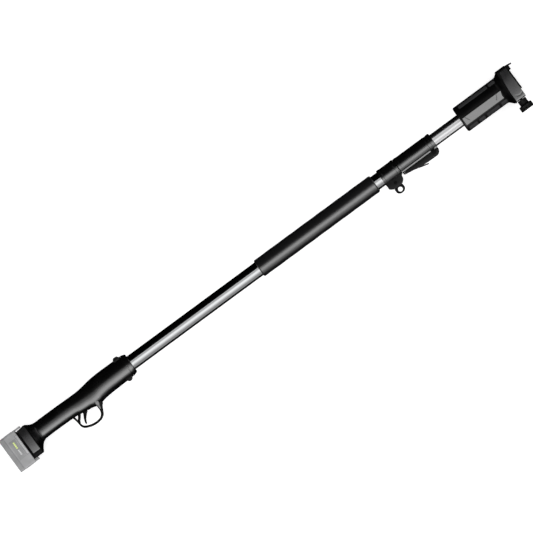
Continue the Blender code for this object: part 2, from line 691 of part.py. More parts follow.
def make_adapter():
    """The tool mount: a hollow flange with a hook lip above, a raised face and the thumbscrew's boss."""
    low, high = ADAPTER_X
    y0, y1 = ADAPTER_Y
    half = ADAPTER_HALF
    adapter = piece("tool_adapter", chamfered_block((low, y0, -half), (high, y1, half), 5.0),
                    BLACK_PLASTIC, tool_joint)
    join(adapter, block((high - 1, -15.0, -38.0), (1205.5, 24.0, 38.0)), tool_joint)
    join(adapter, block((high - 1, 23.0, -36.0), (1210.0, 32.5, 36.0)), tool_joint)
    join(adapter, block((1209.0, 31.0, -36.0), (LENGTH, 33.5, 36.0)), tool_joint)
    cut(adapter, chamfered_block((low - 5, y0 + 3, -half + 3), (high - 3, y1 - 3, half - 3), 4.0), tool_joint)
    join(adapter, block((THUMB_X - 8, y0 + 1, -8.0), (THUMB_X + 8, -23.5, 8.0)), tool_joint)
    cut(adapter, rod((THUMB_X, y0 - 5, 0), (THUMB_X, -20.0, 0), 6.0, 20), tool_joint)
    cut(adapter, block((high - REACH, -8.3, -14.3), (LENGTH, 12.3, 14.3)), tool_joint)


def make_adapter_contacts():
    piece("adapter_terminal_block", block((1190.0, -8.0, -14.0), (1198.0, 12.0, 14.0)), DARK_GREY_PLASTIC,
          tool_joint)
    for name, z in (("adapter_contact_1", -7.0), ("adapter_contact_2", 7.0)):
        piece(name, block((1198.3, -4.0, z - 0.4), (1204.6, 8.0, z + 0.4)), BRASS, tool_joint)


def make_thumbscrew():
    insert = piece("screw_insert", rod((THUMB_X, -35.5, 0), (THUMB_X, -28.2, 0), 5.6, 20), BRASS, tool_joint)
    cut(insert, rod((THUMB_X, -REACH, 0), (THUMB_X, -20.0, 0), THUMB_R + 0.1, 20), tool_joint)
    piece("clamp_pad", rod((THUMB_X, -21.6, 0), (THUMB_X, -18.6, 0), 5.2, 20), CABLE_BLACK, pad_joint)
    turned("thumbscrew", (
        (58.9, 0.0), (58.9, 12.0), (58.0, 13.4), (56.5, 13.85), (50.0, 13.85), (48.4, 13.4), (47.8, 12.0),
        (47.8, 9.1), (37.3, 9.1), (36.4, 8.2), (36.4, THUMB_R), (21.9, THUMB_R), (21.9, 0.0),
    ), BLACK_PLASTIC, knob_joint, (THUMB_X, 0.0, 0.0), "-Y", 28)


def make_tool_end():
    make_head_housing()
    make_adapter()
    make_adapter_contacts()
    make_thumbscrew()


# ---------------------------------------------------------------- battery pack


def make_pack_cases():
    (y0, y1), (z0, z1), wall = PACK_Y, PACK_Z, PACK_WALL
    lower = piece("pack_lower_case", block((PACK_X[0], y0, z0), (PACK_SPLIT_X, y1, z1)), GREY_PLASTIC,
                  pack_joint)
    cut(lower, block((PACK_X[0] + wall - 0.3, y0 + wall, z0 + wall), (20.0, y1 - wall, z1 - wall)), pack_joint)
    upper = piece("pack_upper_case", block((PACK_SPLIT_X + GAP, y0, z0), (PACK_X[1], y1, z1)), GREY_PLASTIC,
                  pack_joint)
    join(upper, block((30.0, 26.2, -38.0), (47.5, y1 - 0.01, 42.0)), pack_joint)
    join(upper, block((30.0, y0 + 0.01, -38.0), (42.4, -39.2, 42.0)), pack_joint)
    cut(upper, block((0.0, y0 + wall, z0 + wall), (21.2, y1 - wall, z1 - wall)), pack_joint)
    middle = TONGUE_Y
    cut(upper, block((30.0, middle - 15.6, z0 - 5), (REACH, middle + 15.6, CHANNEL_END_Z)), pack_joint)
    cut(upper, block((22.6, middle - 22.6, z0 - 5), (29.0, middle + 22.6, CHANNEL_END_Z)), pack_joint)
    cut(upper, block((25.0, middle - 15.6, z0 - 5), (32.0, middle + 15.6, CHANNEL_END_Z)), pack_joint)
    cut(upper, block((20.0, -36.0, 44.0), (29.0, 21.0, z1 - wall)), pack_joint)
    for offset in (-BLADE_OFFSET, BLADE_OFFSET):
        y = middle + offset
        cut(upper, block((24.0, y - 1.0, 35.0), (29.0, y + 1.0, 46.0)), pack_joint)
    cut(upper, block((29.6, -23.3, 51.8), (REACH, 19.3, 70.0)), pack_joint)


def make_pack_inside():
    middle_y = sum(PACK_Y) / 2
    middle_z = sum(PACK_Z) / 2
    for i in range(CELL_COUNT):
        z = middle_z + (i - (CELL_COUNT - 1) / 2) * CELL_PITCH
        ends = [(CELL_X, middle_y + sign * CELL_LENGTH / 2, z) for sign in (-1, 1)]
        piece(f"cell_{i + 1}", rod(*ends, CELL_R, 20), CELL_WRAP, pack_joint)
    piece("pack_board", block((22.0, -30.0, 55.0), (28.6, 16.0, 56.6)), BOARD_GREEN, pack_joint)
    for name, offset in (("pack_contact_1", -BLADE_OFFSET), ("pack_contact_2", BLADE_OFFSET)):
        y = TONGUE_Y + offset
        clip = piece(name, block((23.0, y - 2.4, 44.6), (28.6, y + 2.4, 53.0)), BRASS, pack_joint)
        cut(clip, block((20.0, y - 0.8, 40.0), (32.0, y + 0.8, 51.5)), pack_joint)


def make_pack_controls():
    piece("charge_gauge", block((17.0, -17.0, PACK_Z[1] + GAP), (23.0, 12.0, PACK_Z[1] + 1.1)), LENS_GREEN,
          pack_joint, 0.3, 1)
    piece("release_button", block((30.0, -22.9, 58.0), (34.9, 18.9, 62.4)), DARK_GREY_PLASTIC, button_joint,
          0.8)
    spring = coil((32.4, -2.0), 1.7, 52.6, 57.2, 4, 8)
    piece("release_spring", wire(spring, 0.3), STEEL, pack_joint)


def make_battery_pack():
    make_pack_cases()
    make_pack_inside()
    make_pack_controls()


make_handle()
make_tubes()
make_collar()
make_harness_eye()
make_sleeve()
make_lever()
make_tool_end()
make_battery_pack()
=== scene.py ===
"""Looks for the telescopic extension pole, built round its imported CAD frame.

Pieces are drawn in the pole's axis frame, in millimetres: X from the battery pack's rear face to the tool
end, Y away from the trigger and Z square to both, with Y = Z = 0 on the tubes' axis. ORIGIN is that frame's
zero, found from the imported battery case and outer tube, and store() turns the millimetres into metres.
"""

import json
import math

import bmesh
import bpy
from mathutils import Matrix, Vector


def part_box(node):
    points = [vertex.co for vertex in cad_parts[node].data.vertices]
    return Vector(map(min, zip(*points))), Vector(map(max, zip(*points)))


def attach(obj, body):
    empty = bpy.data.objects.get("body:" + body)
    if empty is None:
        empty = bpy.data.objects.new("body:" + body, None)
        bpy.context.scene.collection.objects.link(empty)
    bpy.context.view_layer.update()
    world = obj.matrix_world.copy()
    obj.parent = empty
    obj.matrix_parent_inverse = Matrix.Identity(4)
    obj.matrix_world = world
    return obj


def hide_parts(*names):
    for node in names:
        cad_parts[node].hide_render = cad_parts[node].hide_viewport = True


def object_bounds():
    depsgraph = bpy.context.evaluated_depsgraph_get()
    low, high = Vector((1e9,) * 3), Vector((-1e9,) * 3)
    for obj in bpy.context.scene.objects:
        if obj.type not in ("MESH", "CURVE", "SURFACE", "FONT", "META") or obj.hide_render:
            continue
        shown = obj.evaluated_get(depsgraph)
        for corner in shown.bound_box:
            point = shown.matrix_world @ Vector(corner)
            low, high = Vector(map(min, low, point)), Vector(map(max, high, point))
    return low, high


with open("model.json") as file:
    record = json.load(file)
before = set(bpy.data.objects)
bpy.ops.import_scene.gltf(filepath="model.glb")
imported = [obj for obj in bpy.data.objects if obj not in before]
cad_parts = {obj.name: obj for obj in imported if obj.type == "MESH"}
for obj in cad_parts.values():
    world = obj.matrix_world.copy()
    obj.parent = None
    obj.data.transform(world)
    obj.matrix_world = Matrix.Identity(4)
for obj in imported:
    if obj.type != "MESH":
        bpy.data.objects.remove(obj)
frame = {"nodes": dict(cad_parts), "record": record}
CAD_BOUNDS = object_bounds()

MM = 0.001
FLOOR_Z = CAD_BOUNDS[0].z
TUBE_LOW, TUBE_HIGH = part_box("outer_tube")
ORIGIN = Vector((
    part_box("pack_lower_case")[0].x, (TUBE_LOW.y + TUBE_HIGH.y) / 2, (TUBE_LOW.z + TUBE_HIGH.z) / 2
))
TO_METRES = Matrix.Translation(ORIGIN) @ Matrix.Scale(MM, 4)
UP = (0.0, 0.0, 1.0)
SIDES = (("front", 1), ("back", -1))  # the two halves of what is split at Z = 0


def span(node):
    """A node's lowest and highest corner in the pole's axis frame, in millimetres."""
    low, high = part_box(node)
    return (low - ORIGIN) / MM, (high - ORIGIN) / MM


def placed(name, data):
    """A new object in the scene."""
    obj = bpy.data.objects.new(name, data)
    bpy.context.scene.collection.objects.link(obj)
    return obj


def mesh_of(name, bm):
    """A mesh of a shape, which is used up."""
    mesh = bpy.data.meshes.new(name)
    bm.to_mesh(mesh)
    bm.free()
    return mesh


def evaluated_mesh(obj):
    depsgraph = bpy.context.evaluated_depsgraph_get()
    return bpy.data.meshes.new_from_object(obj.evaluated_get(depsgraph))


# ---- shapes, in millimetres


def block(low, high):
    bm = bmesh.new()
    low, high = Vector(low), Vector(high)
    bmesh.ops.create_cube(bm, size=1.0)
    bmesh.ops.scale(bm, vec=high - low, verts=bm.verts)
    bmesh.ops.translate(bm, vec=(low + high) / 2, verts=bm.verts)
    return bm


def skin(rows, wrap=False, caps=False):
    """A grid of faces through rows of points, each row joined end to end if it wraps."""
    bm = bmesh.new()
    grid = [[bm.verts.new(point) for point in row] for row in rows]
    across = len(grid[0]) if wrap else len(grid[0]) - 1
    for near, far in zip(grid, grid[1:]):
        for i in range(across):
            j = (i + 1) % len(near)
            bm.faces.new((near[i], near[j], far[j], far[i]))
    if caps:
        bm.faces.new(grid[0])
        bm.faces.new(grid[-1])
    bmesh.ops.recalc_face_normals(bm, faces=bm.faces)
    return bm


def lathe(profile, steps=96, start=(0.0, 0.0, 0.0), along=(1.0, 0.0, 0.0), flutes=None):
    """Points (distance along, radius) turned about a line, where flutes(angle, distance, radius) may change
    a radius."""
    axis = Vector(along)
    side = axis.orthogonal().normalized()
    up = axis.cross(side)
    rows = []
    for distance, radius in profile:
        row = []
        for i in range(steps):
            angle = math.tau * i / steps
            r = flutes(angle, distance, radius) if flutes else radius
            row.append(Vector(start) + axis * distance + (side * math.cos(angle) + up * math.sin(angle)) * r)
        rows.append(row)
    return skin(rows, wrap=True, caps=True)


def ring(profile, steps=96, start=(0.0, 0.0, 0.0), along=(1.0, 0.0, 0.0)):
    """A closed profile of (distance along, radius) turned about a line, with a hole through its middle."""
    bm = lathe(profile, steps, start, along)
    caps = [face for face in bm.faces if len(face.verts) > 4]
    bmesh.ops.delete(bm, geom=caps, context="FACES_ONLY")
    rims = [edge for edge in bm.edges if edge.is_boundary]
    bmesh.ops.bridge_loops(bm, edges=rims)
    bmesh.ops.recalc_face_normals(bm, faces=bm.faces)
    return bm


def rod(x, y, z_low, z_high, radius, steps=32):
    """A rod, or a hole's cutter, square to the pole's side."""
    return lathe(((0.0, radius), (z_high - z_low, radius)), steps, (x, y, z_low), UP)


def arc(centre, radius, start, end, count):
    turns = [math.radians(start + (end - start) * i / count) for i in range(count + 1)]
    return [(centre[0] + radius * math.cos(t), centre[1] + radius * math.sin(t)) for t in turns]


def circle(centre, radius, count):
    return arc(centre, radius, 0.0, 360.0 * (count - 1) / count, count - 1)


def rounded(corners, steps=6):
    """A closed outline of (x, y, corner radius) points, with each corner rounded by its radius."""
    outline = []
    for i, (x, y, radius) in enumerate(corners):
        here = Vector((x, y))
        back = Vector(corners[i - 1][:2]) - here
        ahead = Vector(corners[(i + 1) % len(corners)][:2]) - here
        reach = min(radius, back.length * 0.49, ahead.length * 0.49)
        if reach <= 0.0:
            outline.append((x, y))
            continue
        first, last = here + back.normalized() * reach, here + ahead.normalized() * reach
        for k in range(steps + 1):
            t = k / steps
            point = first * (1 - t) ** 2 + here * 2 * t * (1 - t) + last * t * t
            outline.append((point.x, point.y))
    return outline


def flowing(points, steps=6):
    """A Catmull-Rom curve through rows of numbers."""
    rows = [Vector(row) for row in points]
    rows = [rows[0] * 2 - rows[1], *rows, rows[-1] * 2 - rows[-2]]
    curve = []
    for p0, p1, p2, p3 in zip(rows, rows[1:], rows[2:], rows[3:]):
        for k in range(steps):
            t = k / steps
            curve.append(0.5 * (
                2 * p1 + (p2 - p0) * t + (2 * p0 - 5 * p1 + 4 * p2 - p3) * t ** 2
                + (3 * p1 - p0 - 3 * p2 + p3) * t ** 3
            ))
    return [*curve, rows[-2]]


def sweep(path, power=3.5, count=28):
    """A bar with a squarish section along a path of (x, y, width, half depth) rows."""
    knots = flowing(path)
    rows = []
    for i, knot in enumerate(knots):
        ahead, behind = knots[min(i + 1, len(knots) - 1)], knots[max(i - 1, 0)]
        across = Vector((behind.y - ahead.y, ahead.x - behind.x)).normalized()
        row = []
        for k in range(count):
            angle = math.tau * k / count
            c, s = math.cos(angle), math.sin(angle)
            w = knot.z / 2 * math.copysign(abs(c) ** (2 / power), c)
            row.append((knot.x + across.x * w, knot.y + across.y * w,
                        knot.w * math.copysign(abs(s) ** (2 / power), s)))
        rows.append(row)
    return skin(rows, wrap=True, caps=True)


def plate(outline, z_low, z_high, holes=()):
    """A flat outline with holes in it, filled between two heights."""
    curve = bpy.data.curves.new("outline", "CURVE")
    curve.dimensions = "2D"
    curve.fill_mode = "BOTH"
    curve.extrude = (z_high - z_low) / 2
    for loop in (outline, *holes):
        spline = curve.splines.new("POLY")
        spline.points.add(len(loop) - 1)
        spline.use_cyclic_u = True
        for point, (x, y) in zip(spline.points, loop):
            point.co = (x, y, 0.0, 1.0)
    guide = placed("guide", curve)
    mesh = evaluated_mesh(guide)
    bpy.data.objects.remove(guide, do_unlink=True)
    bm = bmesh.new()
    bm.from_mesh(mesh)
    bpy.data.meshes.remove(mesh)
    bmesh.ops.remove_doubles(bm, verts=bm.verts, dist=0.001)
    bmesh.ops.dissolve_limit(bm, angle_limit=math.radians(1), verts=bm.verts, edges=bm.edges)
    bmesh.ops.translate(bm, vec=(0.0, 0.0, (z_low + z_high) / 2), verts=bm.verts)
    bmesh.ops.recalc_face_normals(bm, faces=bm.faces)
    return bm


def gather(shapes):
    """Several shapes in one."""
    together = bmesh.new()
    for bm in shapes:
        mesh = mesh_of("shape", bm)
        together.from_mesh(mesh)
        bpy.data.meshes.remove(mesh)
    return together


def pillow(outline, z_low, z_high, inset, steps=4):
    """A flat outline filled between two heights, its rims rounded by an inset."""
    area = sum(x * q - p * y for (x, y), (p, q) in zip(outline, outline[1:] + outline[:1]))
    if area < 0:
        outline = outline[::-1]
    points = [Vector(point) for point in outline]
    inward = []
    for i, here in enumerate(points):
        before = (here - points[i - 1]).normalized()
        after = (points[(i + 1) % len(points)] - here).normalized()
        normal = Vector((-before.y - after.y, before.x + after.x)).normalized()
        lean = max(normal.dot(Vector((-after.y, after.x))), 0.5)
        inward.append(normal / lean)
    turns = [math.pi / 2 * k / steps for k in range(steps + 1)]
    levels = [(z_low + inset * (1 - math.cos(t)), inset * (1 - math.sin(t))) for t in turns]
    levels += [(z_low + z_high - z, depth) for z, depth in reversed(levels)]
    rows = [[(*(point + way * depth), z) for point, way in zip(points, inward)] for z, depth in levels]
    return skin(rows, wrap=True, caps=True)


# turns an outline drawn in (x, y) and filled along z into one in (y, z), filled along x
ALONG_X = Matrix(((0, 0, 1, 0), (1, 0, 0, 0), (0, 1, 0, 0), (0, 0, 0, 1)))


def bar(x_low, x_high, corners, inset):
    """A (y, z, corner radius) outline filled along the pole, its two rims rounded by an inset."""
    bm = pillow(rounded(corners), x_low, x_high, inset)
    bmesh.ops.transform(bm, matrix=ALONG_X, verts=bm.verts)
    return bm


def box_corners(y_low, y_high, z_low, z_high, radius):
    corners = ((y_low, z_low), (y_high, z_low), (y_high, z_high), (y_low, z_high))
    return [(*corner, radius) for corner in corners]


def crowned(x_range, y_range, z, crown, roll, side, rear=None, groove=None, steps=60, columns=24):
    """A sheet on a side face, domed along Y and rolled off at its low end, with a rear edge x(y)."""
    (x0, x1), (y0, y1) = x_range, y_range
    roll_reach = 3.4
    rows = []
    for i in range(steps + 1):
        t = i / steps
        y = y0 + (y1 - y0) * t
        height = z + crown * (1 - (2 * t - 1) ** 2) - roll * max(1 - (y - y0) / roll_reach, 0.0) ** 2
        low = rear(y) if rear else x0
        row = []
        for k in range(columns + 1):
            x = low + (x1 - low) * k / columns
            row.append((x, y, side * (height - (groove(x, y) if groove else 0.0))))
        rows.append(row)
    return facing(skin(rows), (0.0, 0.0, side))


def facing(bm, way, index=0):
    """Turns an open sheet so that one of its faces looks a given way."""
    bm.faces.ensure_lookup_table()
    if bm.faces[index].normal.dot(Vector(way)) < 0:
        bmesh.ops.reverse_faces(bm, faces=bm.faces)
    return bm


def smooth_rows(knots, x_values):
    """Rows of numbers at each x, on monotone cubics through the knots (x, value, value, ...)."""
    columns = list(zip(*knots))
    xs = columns[0]
    slopes = [monotone_slopes(xs, column) for column in columns[1:]]
    rows = []
    for x in x_values:
        i = max(k for k in range(len(xs) - 1) if xs[k] <= x or k == 0)
        width = xs[i + 1] - xs[i]
        t = min(max((x - xs[i]) / width, 0.0), 1.0)
        row = [x]
        for column, slope in zip(columns[1:], slopes):
            row.append(
                column[i] * (1 + 2 * t) * (1 - t) ** 2 + column[i + 1] * t * t * (3 - 2 * t)
                + width * (slope[i] * t * (1 - t) ** 2 - slope[i + 1] * t * t * (1 - t))
            )
        rows.append(row)
    return rows


def monotone_slopes(xs, ys):
    steps = [(b - a) / (q - p) for a, b, p, q in zip(ys, ys[1:], xs, xs[1:])]
    inner = [2 * a * b / (a + b) if a * b > 0 else 0.0 for a, b in zip(steps, steps[1:])]
    return [steps[0], *inner, steps[-1]]


# ---- pieces


# the pieces that each set of softboxes lights: the two tubes, the round black pieces, and all the rest
OUTER_LIT, INNER_LIT, ROUND_LIT, BODY_LIT = (
    bpy.data.collections.new(f"{name}_lit") for name in ("outer", "inner", "round", "body")
)
SHARP_FROM = 38  # degrees between two faces


def store(name, bm, body, material, replaced=()):
    """Keeps a shape drawn in millimetres as a named piece that rides on a CAD body."""
    bmesh.ops.transform(bm, matrix=TO_METRES, verts=bm.verts)
    mesh = mesh_of(name, bm)
    obj = placed(name, mesh)
    mesh.materials.append(material)
    mesh.shade_smooth()
    mesh.set_sharp_from_angle(angle=math.radians(SHARP_FROM))
    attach(obj, body)
    LIT_BY.get(material, BODY_LIT).objects.link(obj)
    if replaced:
        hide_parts(*replaced)
    return obj


def black_piece(name, bm, body, material, replaced=()):
    return store(name, bm, body, material, replaced)


def soften(obj, width, segments=3):
    """Rounds an object's sharp edges by a width in millimetres."""
    bevel = obj.modifiers.new("rounded_edges", "BEVEL")
    bevel.width = width * MM
    bevel.segments = segments
    bevel.limit_method = "ANGLE"
    bevel.angle_limit = math.radians(35.0)
    bevel.harden_normals = True
    return obj


def thicken(obj, thickness):
    """Gives an open sheet a thickness in millimetres, inwards from its face."""
    shell = obj.modifiers.new("wall", "SOLIDIFY")
    shell.thickness = thickness * MM
    shell.offset = -1.0
    return obj


def carve(obj, bm):
    """Cuts a shape out of a piece for good."""
    bmesh.ops.transform(bm, matrix=TO_METRES, verts=bm.verts)
    bmesh.ops.recalc_face_normals(bm, faces=bm.faces)
    tool = placed("cutter", mesh_of("cutter", bm))
    change = obj.modifiers.new("cut", "BOOLEAN")
    change.operation = "DIFFERENCE"
    change.object = tool
    mesh = evaluated_mesh(obj)
    obj.modifiers.clear()
    obj.data = mesh
    bpy.data.objects.remove(tool, do_unlink=True)


# ---- materials


def new_material(name):
    material = bpy.data.materials.new(name)
    material.use_nodes = True
    return material, material.node_tree, material.node_tree.nodes["Principled BSDF"]


def object_noise(tree, scale, stretch=(1.0, 1.0, 1.0), detail=3.0):
    """A noise in the object's own metres, drawn out along an axis where stretch is small."""
    coordinates = tree.nodes.new("ShaderNodeTexCoord")
    mapping = tree.nodes.new("ShaderNodeMapping")
    mapping.inputs["Scale"].default_value = stretch
    noise = tree.nodes.new("ShaderNodeTexNoise")
    noise.inputs["Scale"].default_value = scale
    noise.inputs["Detail"].default_value = detail
    tree.links.new(coordinates.outputs["Object"], mapping.inputs["Vector"])
    tree.links.new(mapping.outputs["Vector"], noise.inputs["Vector"])
    return noise.outputs["Fac"]


def ramp(tree, shader, socket, factor, stops):
    """Feeds a shader's socket with the colour, or the grey, that a factor has between its stops."""
    node = tree.nodes.new("ShaderNodeValToRGB")
    elements = node.color_ramp.elements
    for element, (position, value) in zip(elements, stops):
        element.position = position
        element.color = (*value, 1.0) if isinstance(value, tuple) else (value, value, value, 1.0)
    tree.links.new(factor, node.inputs["Fac"])
    tree.links.new(node.outputs["Color"], shader.inputs[socket])


def bump(tree, shader, height, strength, distance):
    node = tree.nodes.new("ShaderNodeBump")
    node.inputs["Strength"].default_value = strength
    node.inputs["Distance"].default_value = distance
    tree.links.new(height, node.inputs["Height"])
    tree.links.new(node.outputs["Normal"], shader.inputs["Normal"])


def shade(colour, factor):
    return tuple(channel * factor for channel in colour)


def moulded(name, colour, roughness, grain=2600.0, depth=0.00003, patchy=0.08, specular=0.5):
    """Moulded plastic: a spark-eroded grain, a gloss that varies by patchy and a faint change of tone."""
    material, tree, shader = new_material(name)
    shader.inputs["Specular IOR Level"].default_value = specular
    clouds = object_noise(tree, 45.0)
    ramp(tree, shader, "Base Color", clouds, ((0.3, shade(colour, 0.85)), (0.7, shade(colour, 1.15))))
    ramp(tree, shader, "Roughness", clouds, ((0.3, roughness - patchy / 2), (0.7, roughness + patchy / 2)))
    bump(tree, shader, object_noise(tree, grain, detail=2.0), 0.5, depth)
    return material


def drawn_metal(name, colour, roughness, stretch=(0.02, 1.0, 1.0), grain=2200.0, depth=0.000004):
    """Drawn or turned metal: fine lines along one axis in its gloss and its surface."""
    material, tree, shader = new_material(name)
    shader.inputs["Metallic"].default_value = 1.0
    lines = object_noise(tree, grain, stretch, 4.0)
    ramp(tree, shader, "Base Color", lines, ((0.25, shade(colour, 0.93)), (0.75, shade(colour, 1.04))))
    ramp(tree, shader, "Roughness", lines, ((0.3, roughness * 0.8), (0.7, roughness * 1.25)))
    bump(tree, shader, lines, 0.4, depth)
    return material


def foam_rubber(name, colour):
    """Closed-cell foam: small open cells in a matt skin with a soft sheen."""
    material, tree, shader = new_material(name)
    cells = tree.nodes.new("ShaderNodeTexVoronoi")
    cells.inputs["Scale"].default_value = 1500.0
    coordinates = tree.nodes.new("ShaderNodeTexCoord")
    tree.links.new(coordinates.outputs["Object"], cells.inputs["Vector"])
    shader.inputs["Roughness"].default_value = 0.3
    distance = cells.outputs["Distance"]
    # painted shade: each cell's hollow, where the bump sinks, is painted darker and its rim lighter
    ramp(tree, shader, "Base Color", distance, ((0.1, shade(colour, 0.6)), (0.6, shade(colour, 1.2))))
    bump(tree, shader, distance, 0.5, 0.00002)
    return material


BLACK = (0.0012, 0.0012, 0.0013)
black = moulded("black_nylon", BLACK, 0.25, depth=0.00001)
black_smooth = moulded("black_satin", BLACK, 0.22, depth=0.000005)
black_round = moulded("black_turned", BLACK, 0.25, depth=0.00001)
black_dull = moulded("black_dull", BLACK, 0.5, specular=0.04)
grip_rubber = moulded("grip_rubber", (0.003, 0.003, 0.0031), 0.6, 1800.0, specular=0.05)
grip_block = moulded("grip_block", (0.02, 0.0202, 0.021), 0.6, 1800.0, specular=0.1)
black_matt = moulded("black_matt", BLACK, 0.32, specular=0.1)
dark = moulded("dark_grey_nylon", (0.009, 0.009, 0.0095), 0.3, specular=0.3)
panel_grey = moulded("panel_grey", (0.006, 0.006, 0.0065), 0.25, depth=0.000008)
pack_grey = moulded("pack_grey", (0.215, 0.216, 0.22), 0.5, patchy=0.05)
pack_band = moulded("pack_band_grey", (0.16, 0.161, 0.164), 0.5, patchy=0.05)
pack_light = moulded("pack_light_grey", (0.28, 0.281, 0.285), 0.5, patchy=0.05)
foam = foam_rubber("foam_rubber", (0.004, 0.004, 0.0043))
bright_tube = drawn_metal("bright_aluminium", (0.86, 0.87, 0.88), 0.12)
satin_tube = drawn_metal("satin_aluminium", (0.88, 0.88, 0.89), 0.22)
steel = drawn_metal("zinc_steel", (0.62, 0.62, 0.63), 0.3, (1.0, 1.0, 1.0), 900.0)
brass = drawn_metal("brass", (0.80, 0.62, 0.32), 0.25, (1.0, 1.0, 1.0), 900.0)
rubber = moulded("rubber", (0.012, 0.012, 0.012), 0.7, 1800.0, 0.00005)
lead_red = moulded("red_jacket", (0.30, 0.02, 0.02), 0.5)
board_green = moulded("solder_mask", (0.02, 0.16, 0.07), 0.35)
cell_wrap = moulded("cell_wrap", (0.06, 0.2, 0.36), 0.35, depth=0.00001)
gauge_green = moulded("gauge_green", (0.56, 0.66, 0.20), 0.3, depth=0.000005)
gauge_white = moulded("gauge_white", (0.56, 0.57, 0.57), 0.3, depth=0.000005)

LIT_BY = {bright_tube: OUTER_LIT, satin_tube: INNER_LIT, foam: ROUND_LIT, black_round: ROUND_LIT}
SLOT_MATERIALS = {
    "black_plastic": black, "dark_plastic": dark, "pack_plastic": pack_grey, "foam": foam,
    "aluminium": bright_tube, "steel": steel, "brass": brass, "cell": cell_wrap, "board": board_green,
    "cable": rubber, "lead": lead_red, "gauge": gauge_green, "rubber_pad": rubber,
}


def finish_cad_nodes():
    """Every CAD node gets the material of its slot, apart from the blackened pin of the lever."""
    for entry in frame["record"]["subparts"]:
        data = frame["nodes"][entry["node"]].data
        data.materials.clear()
        blackened = entry["node"] == "lever_pin"
        data.materials.append(black_smooth if blackened else SLOT_MATERIALS[entry["material_slot"]])


# ---- handle

SEAM = 0.15  # each half shell stops this far from the plane between them
WALL = 2.4
OUTER_R = (TUBE_HIGH.y - TUBE_LOW.y) / 2 / MM
INNER_R = (span("inner_tube")[1] - span("inner_tube")[0]).y / 2

# x, lowest y, highest y, half width in z, power of the oval
HANDLE = (
    (36.2, -38.8, 23.4, 46.0, 14.0), (55.6, -38.8, 25.9, 46.0, 14.0), (57.0, -38.2, 25.6, 45.4, 9.0),
    (59.4, -34.2, 23.9, 40.0, 5.0), (62.8, -29.4, 21.6, 32.5, 3.6), (66.6, -25.2, 19.7, 25.5, 2.9),
    (71.0, -21.9, 18.3, 20.8, 2.4), (78.0, -19.9, 17.7, 18.7, 2.2), (95.0, -19.6, 18.0, 18.5, 2.2),
    (125.0, -19.7, 18.0, 18.5, 2.2), (150.0, -20.5, 17.6, 18.5, 2.2), (160.0, -23.0, 17.5, 18.5, 2.2),
    (170.0, -24.2, 17.5, 18.7, 2.2), (180.0, -24.9, 18.0, 19.2, 2.2), (188.0, -27.1, 19.0, 20.0, 2.2),
    (196.0, -28.0, 20.2, 20.9, 2.1), (203.0, -27.8, 21.2, 21.8, 2.1), (211.0, -26.3, 22.1, 22.5, 2.0),
    (221.0, -25.1, 22.7, 23.2, 2.0), (236.0, -24.3, 23.1, 23.4, 2.0), (262.0, -23.6, 23.0, 23.1, 2.0),
    (281.6, -23.1, 23.0, 23.0, 2.0),
)
HANDLE_START, HANDLE_END = HANDLE[0][0], HANDLE[-1][0]
FOOT_FLAT_END, FOOT_END, NECK_END = 54.2, 58.4, 80.0
# x, y and width in the side view of the guard's bars, and half their depth
GUARD = (
    (141.5, -16.0, 6.4, 6.5), (142.0, -21.0, 4.2, 6.5), (143.0, -27.0, 3.8, 6.5), (143.9, -33.0, 4.0, 6.5),
    (144.2, -38.0, 4.0, 6.5), (145.2, -42.0, 4.2, 6.5), (147.8, -45.4, 4.6, 6.5), (151.8, -48.0, 4.7, 6.5),
    (158.9, -50.9, 4.7, 6.5), (167.8, -52.7, 4.7, 6.5), (176.0, -52.7, 4.7, 6.5), (183.7, -51.0, 4.9, 6.5),
    (189.0, -46.9, 5.5, 6.5), (192.0, -42.0, 5.8, 6.8), (194.2, -35.8, 7.8, 7.6), (195.4, -31.0, 11.0, 9.2),
    (196.5, -27.0, 15.6, 10.8), (196.8, -21.0, 20.6, 13.0),
)
GUARD_BRACE = (
    (144.4, -35.0, 4.4, 5.5), (146.2, -30.4, 5.2, 5.5), (149.8, -26.2, 5.4, 5.5), (155.0, -19.0, 6.0, 5.5),
)
GUARD_CREST = (
    (192.9, -36.4, 2.0, 7.3), (193.6, -32.0, 5.6, 9.5), (194.2, -27.0, 9.0, 12.4), (194.5, -22.0, 10.8, 15.0),
    (194.6, -17.5, 9.0, 17.5), (194.6, -12.0, 6.0, 19.0),
)
# outlines in the side view of the bumps over the nose's two screws
BUMPS = (
    [(264.6, 19.4), (266.4, 24.6), (268.6, 27.3), (276.0, 27.3), (278.2, 24.6), (280.0, 19.4)],
    [(264.6, -19.4), (267.2, -24.6), (269.6, -27.3), (275.0, -27.3), (277.4, -24.6), (280.0, -19.4)],
)
HANDLE_SCREWS = ((88.0, 0.0), (153.0, 5.0), (208.0, 10.5), (272.3, 23.3), (272.3, -23.3))
HEAD_SCREWS = tuple((x, y) for x in (1100.0, 1155.0) for y in (17.0, -17.0))
SEAT_TOP, SEAT_R = -10.4, 3.4
SCREW_LOW, SCREW_HIGH = -12.9, -10.7  # the outer and the inner face of every screw's head


def oval(x, low, high, half, power, angle):
    """A point on a superellipse section, with the angle from its top."""
    middle, rise = (low + high) / 2, (high - low) / 2
    c, s = math.cos(angle), abs(math.sin(angle))
    y = middle + rise * math.copysign(abs(c) ** (2 / power), c)
    return Vector((x, y, max(half * s ** (2 / power), SEAM)))


def angle_at(section, y):
    """The angle at which oval() reaches a height."""
    _, low, high, _, power = section
    share = (y - (low + high) / 2) / ((high - low) / 2)
    return math.acos(math.copysign(abs(share) ** (power / 2), share))


def half_shell(sections, side, steps=40):
    rows = []
    for section in sections:
        row = [oval(*section, math.pi * i / steps) for i in range(steps + 1)]
        rows.append([(p.x, p.y, p.z * side) for p in row])
    return facing(skin(rows), (0.0, 0.0, side), steps // 2)


def spread(low, high, step):
    """Even stations from low, about a step apart, without high."""
    count = max(round((high - low) / step), 1)
    return [low + (high - low) * i / count for i in range(count)]


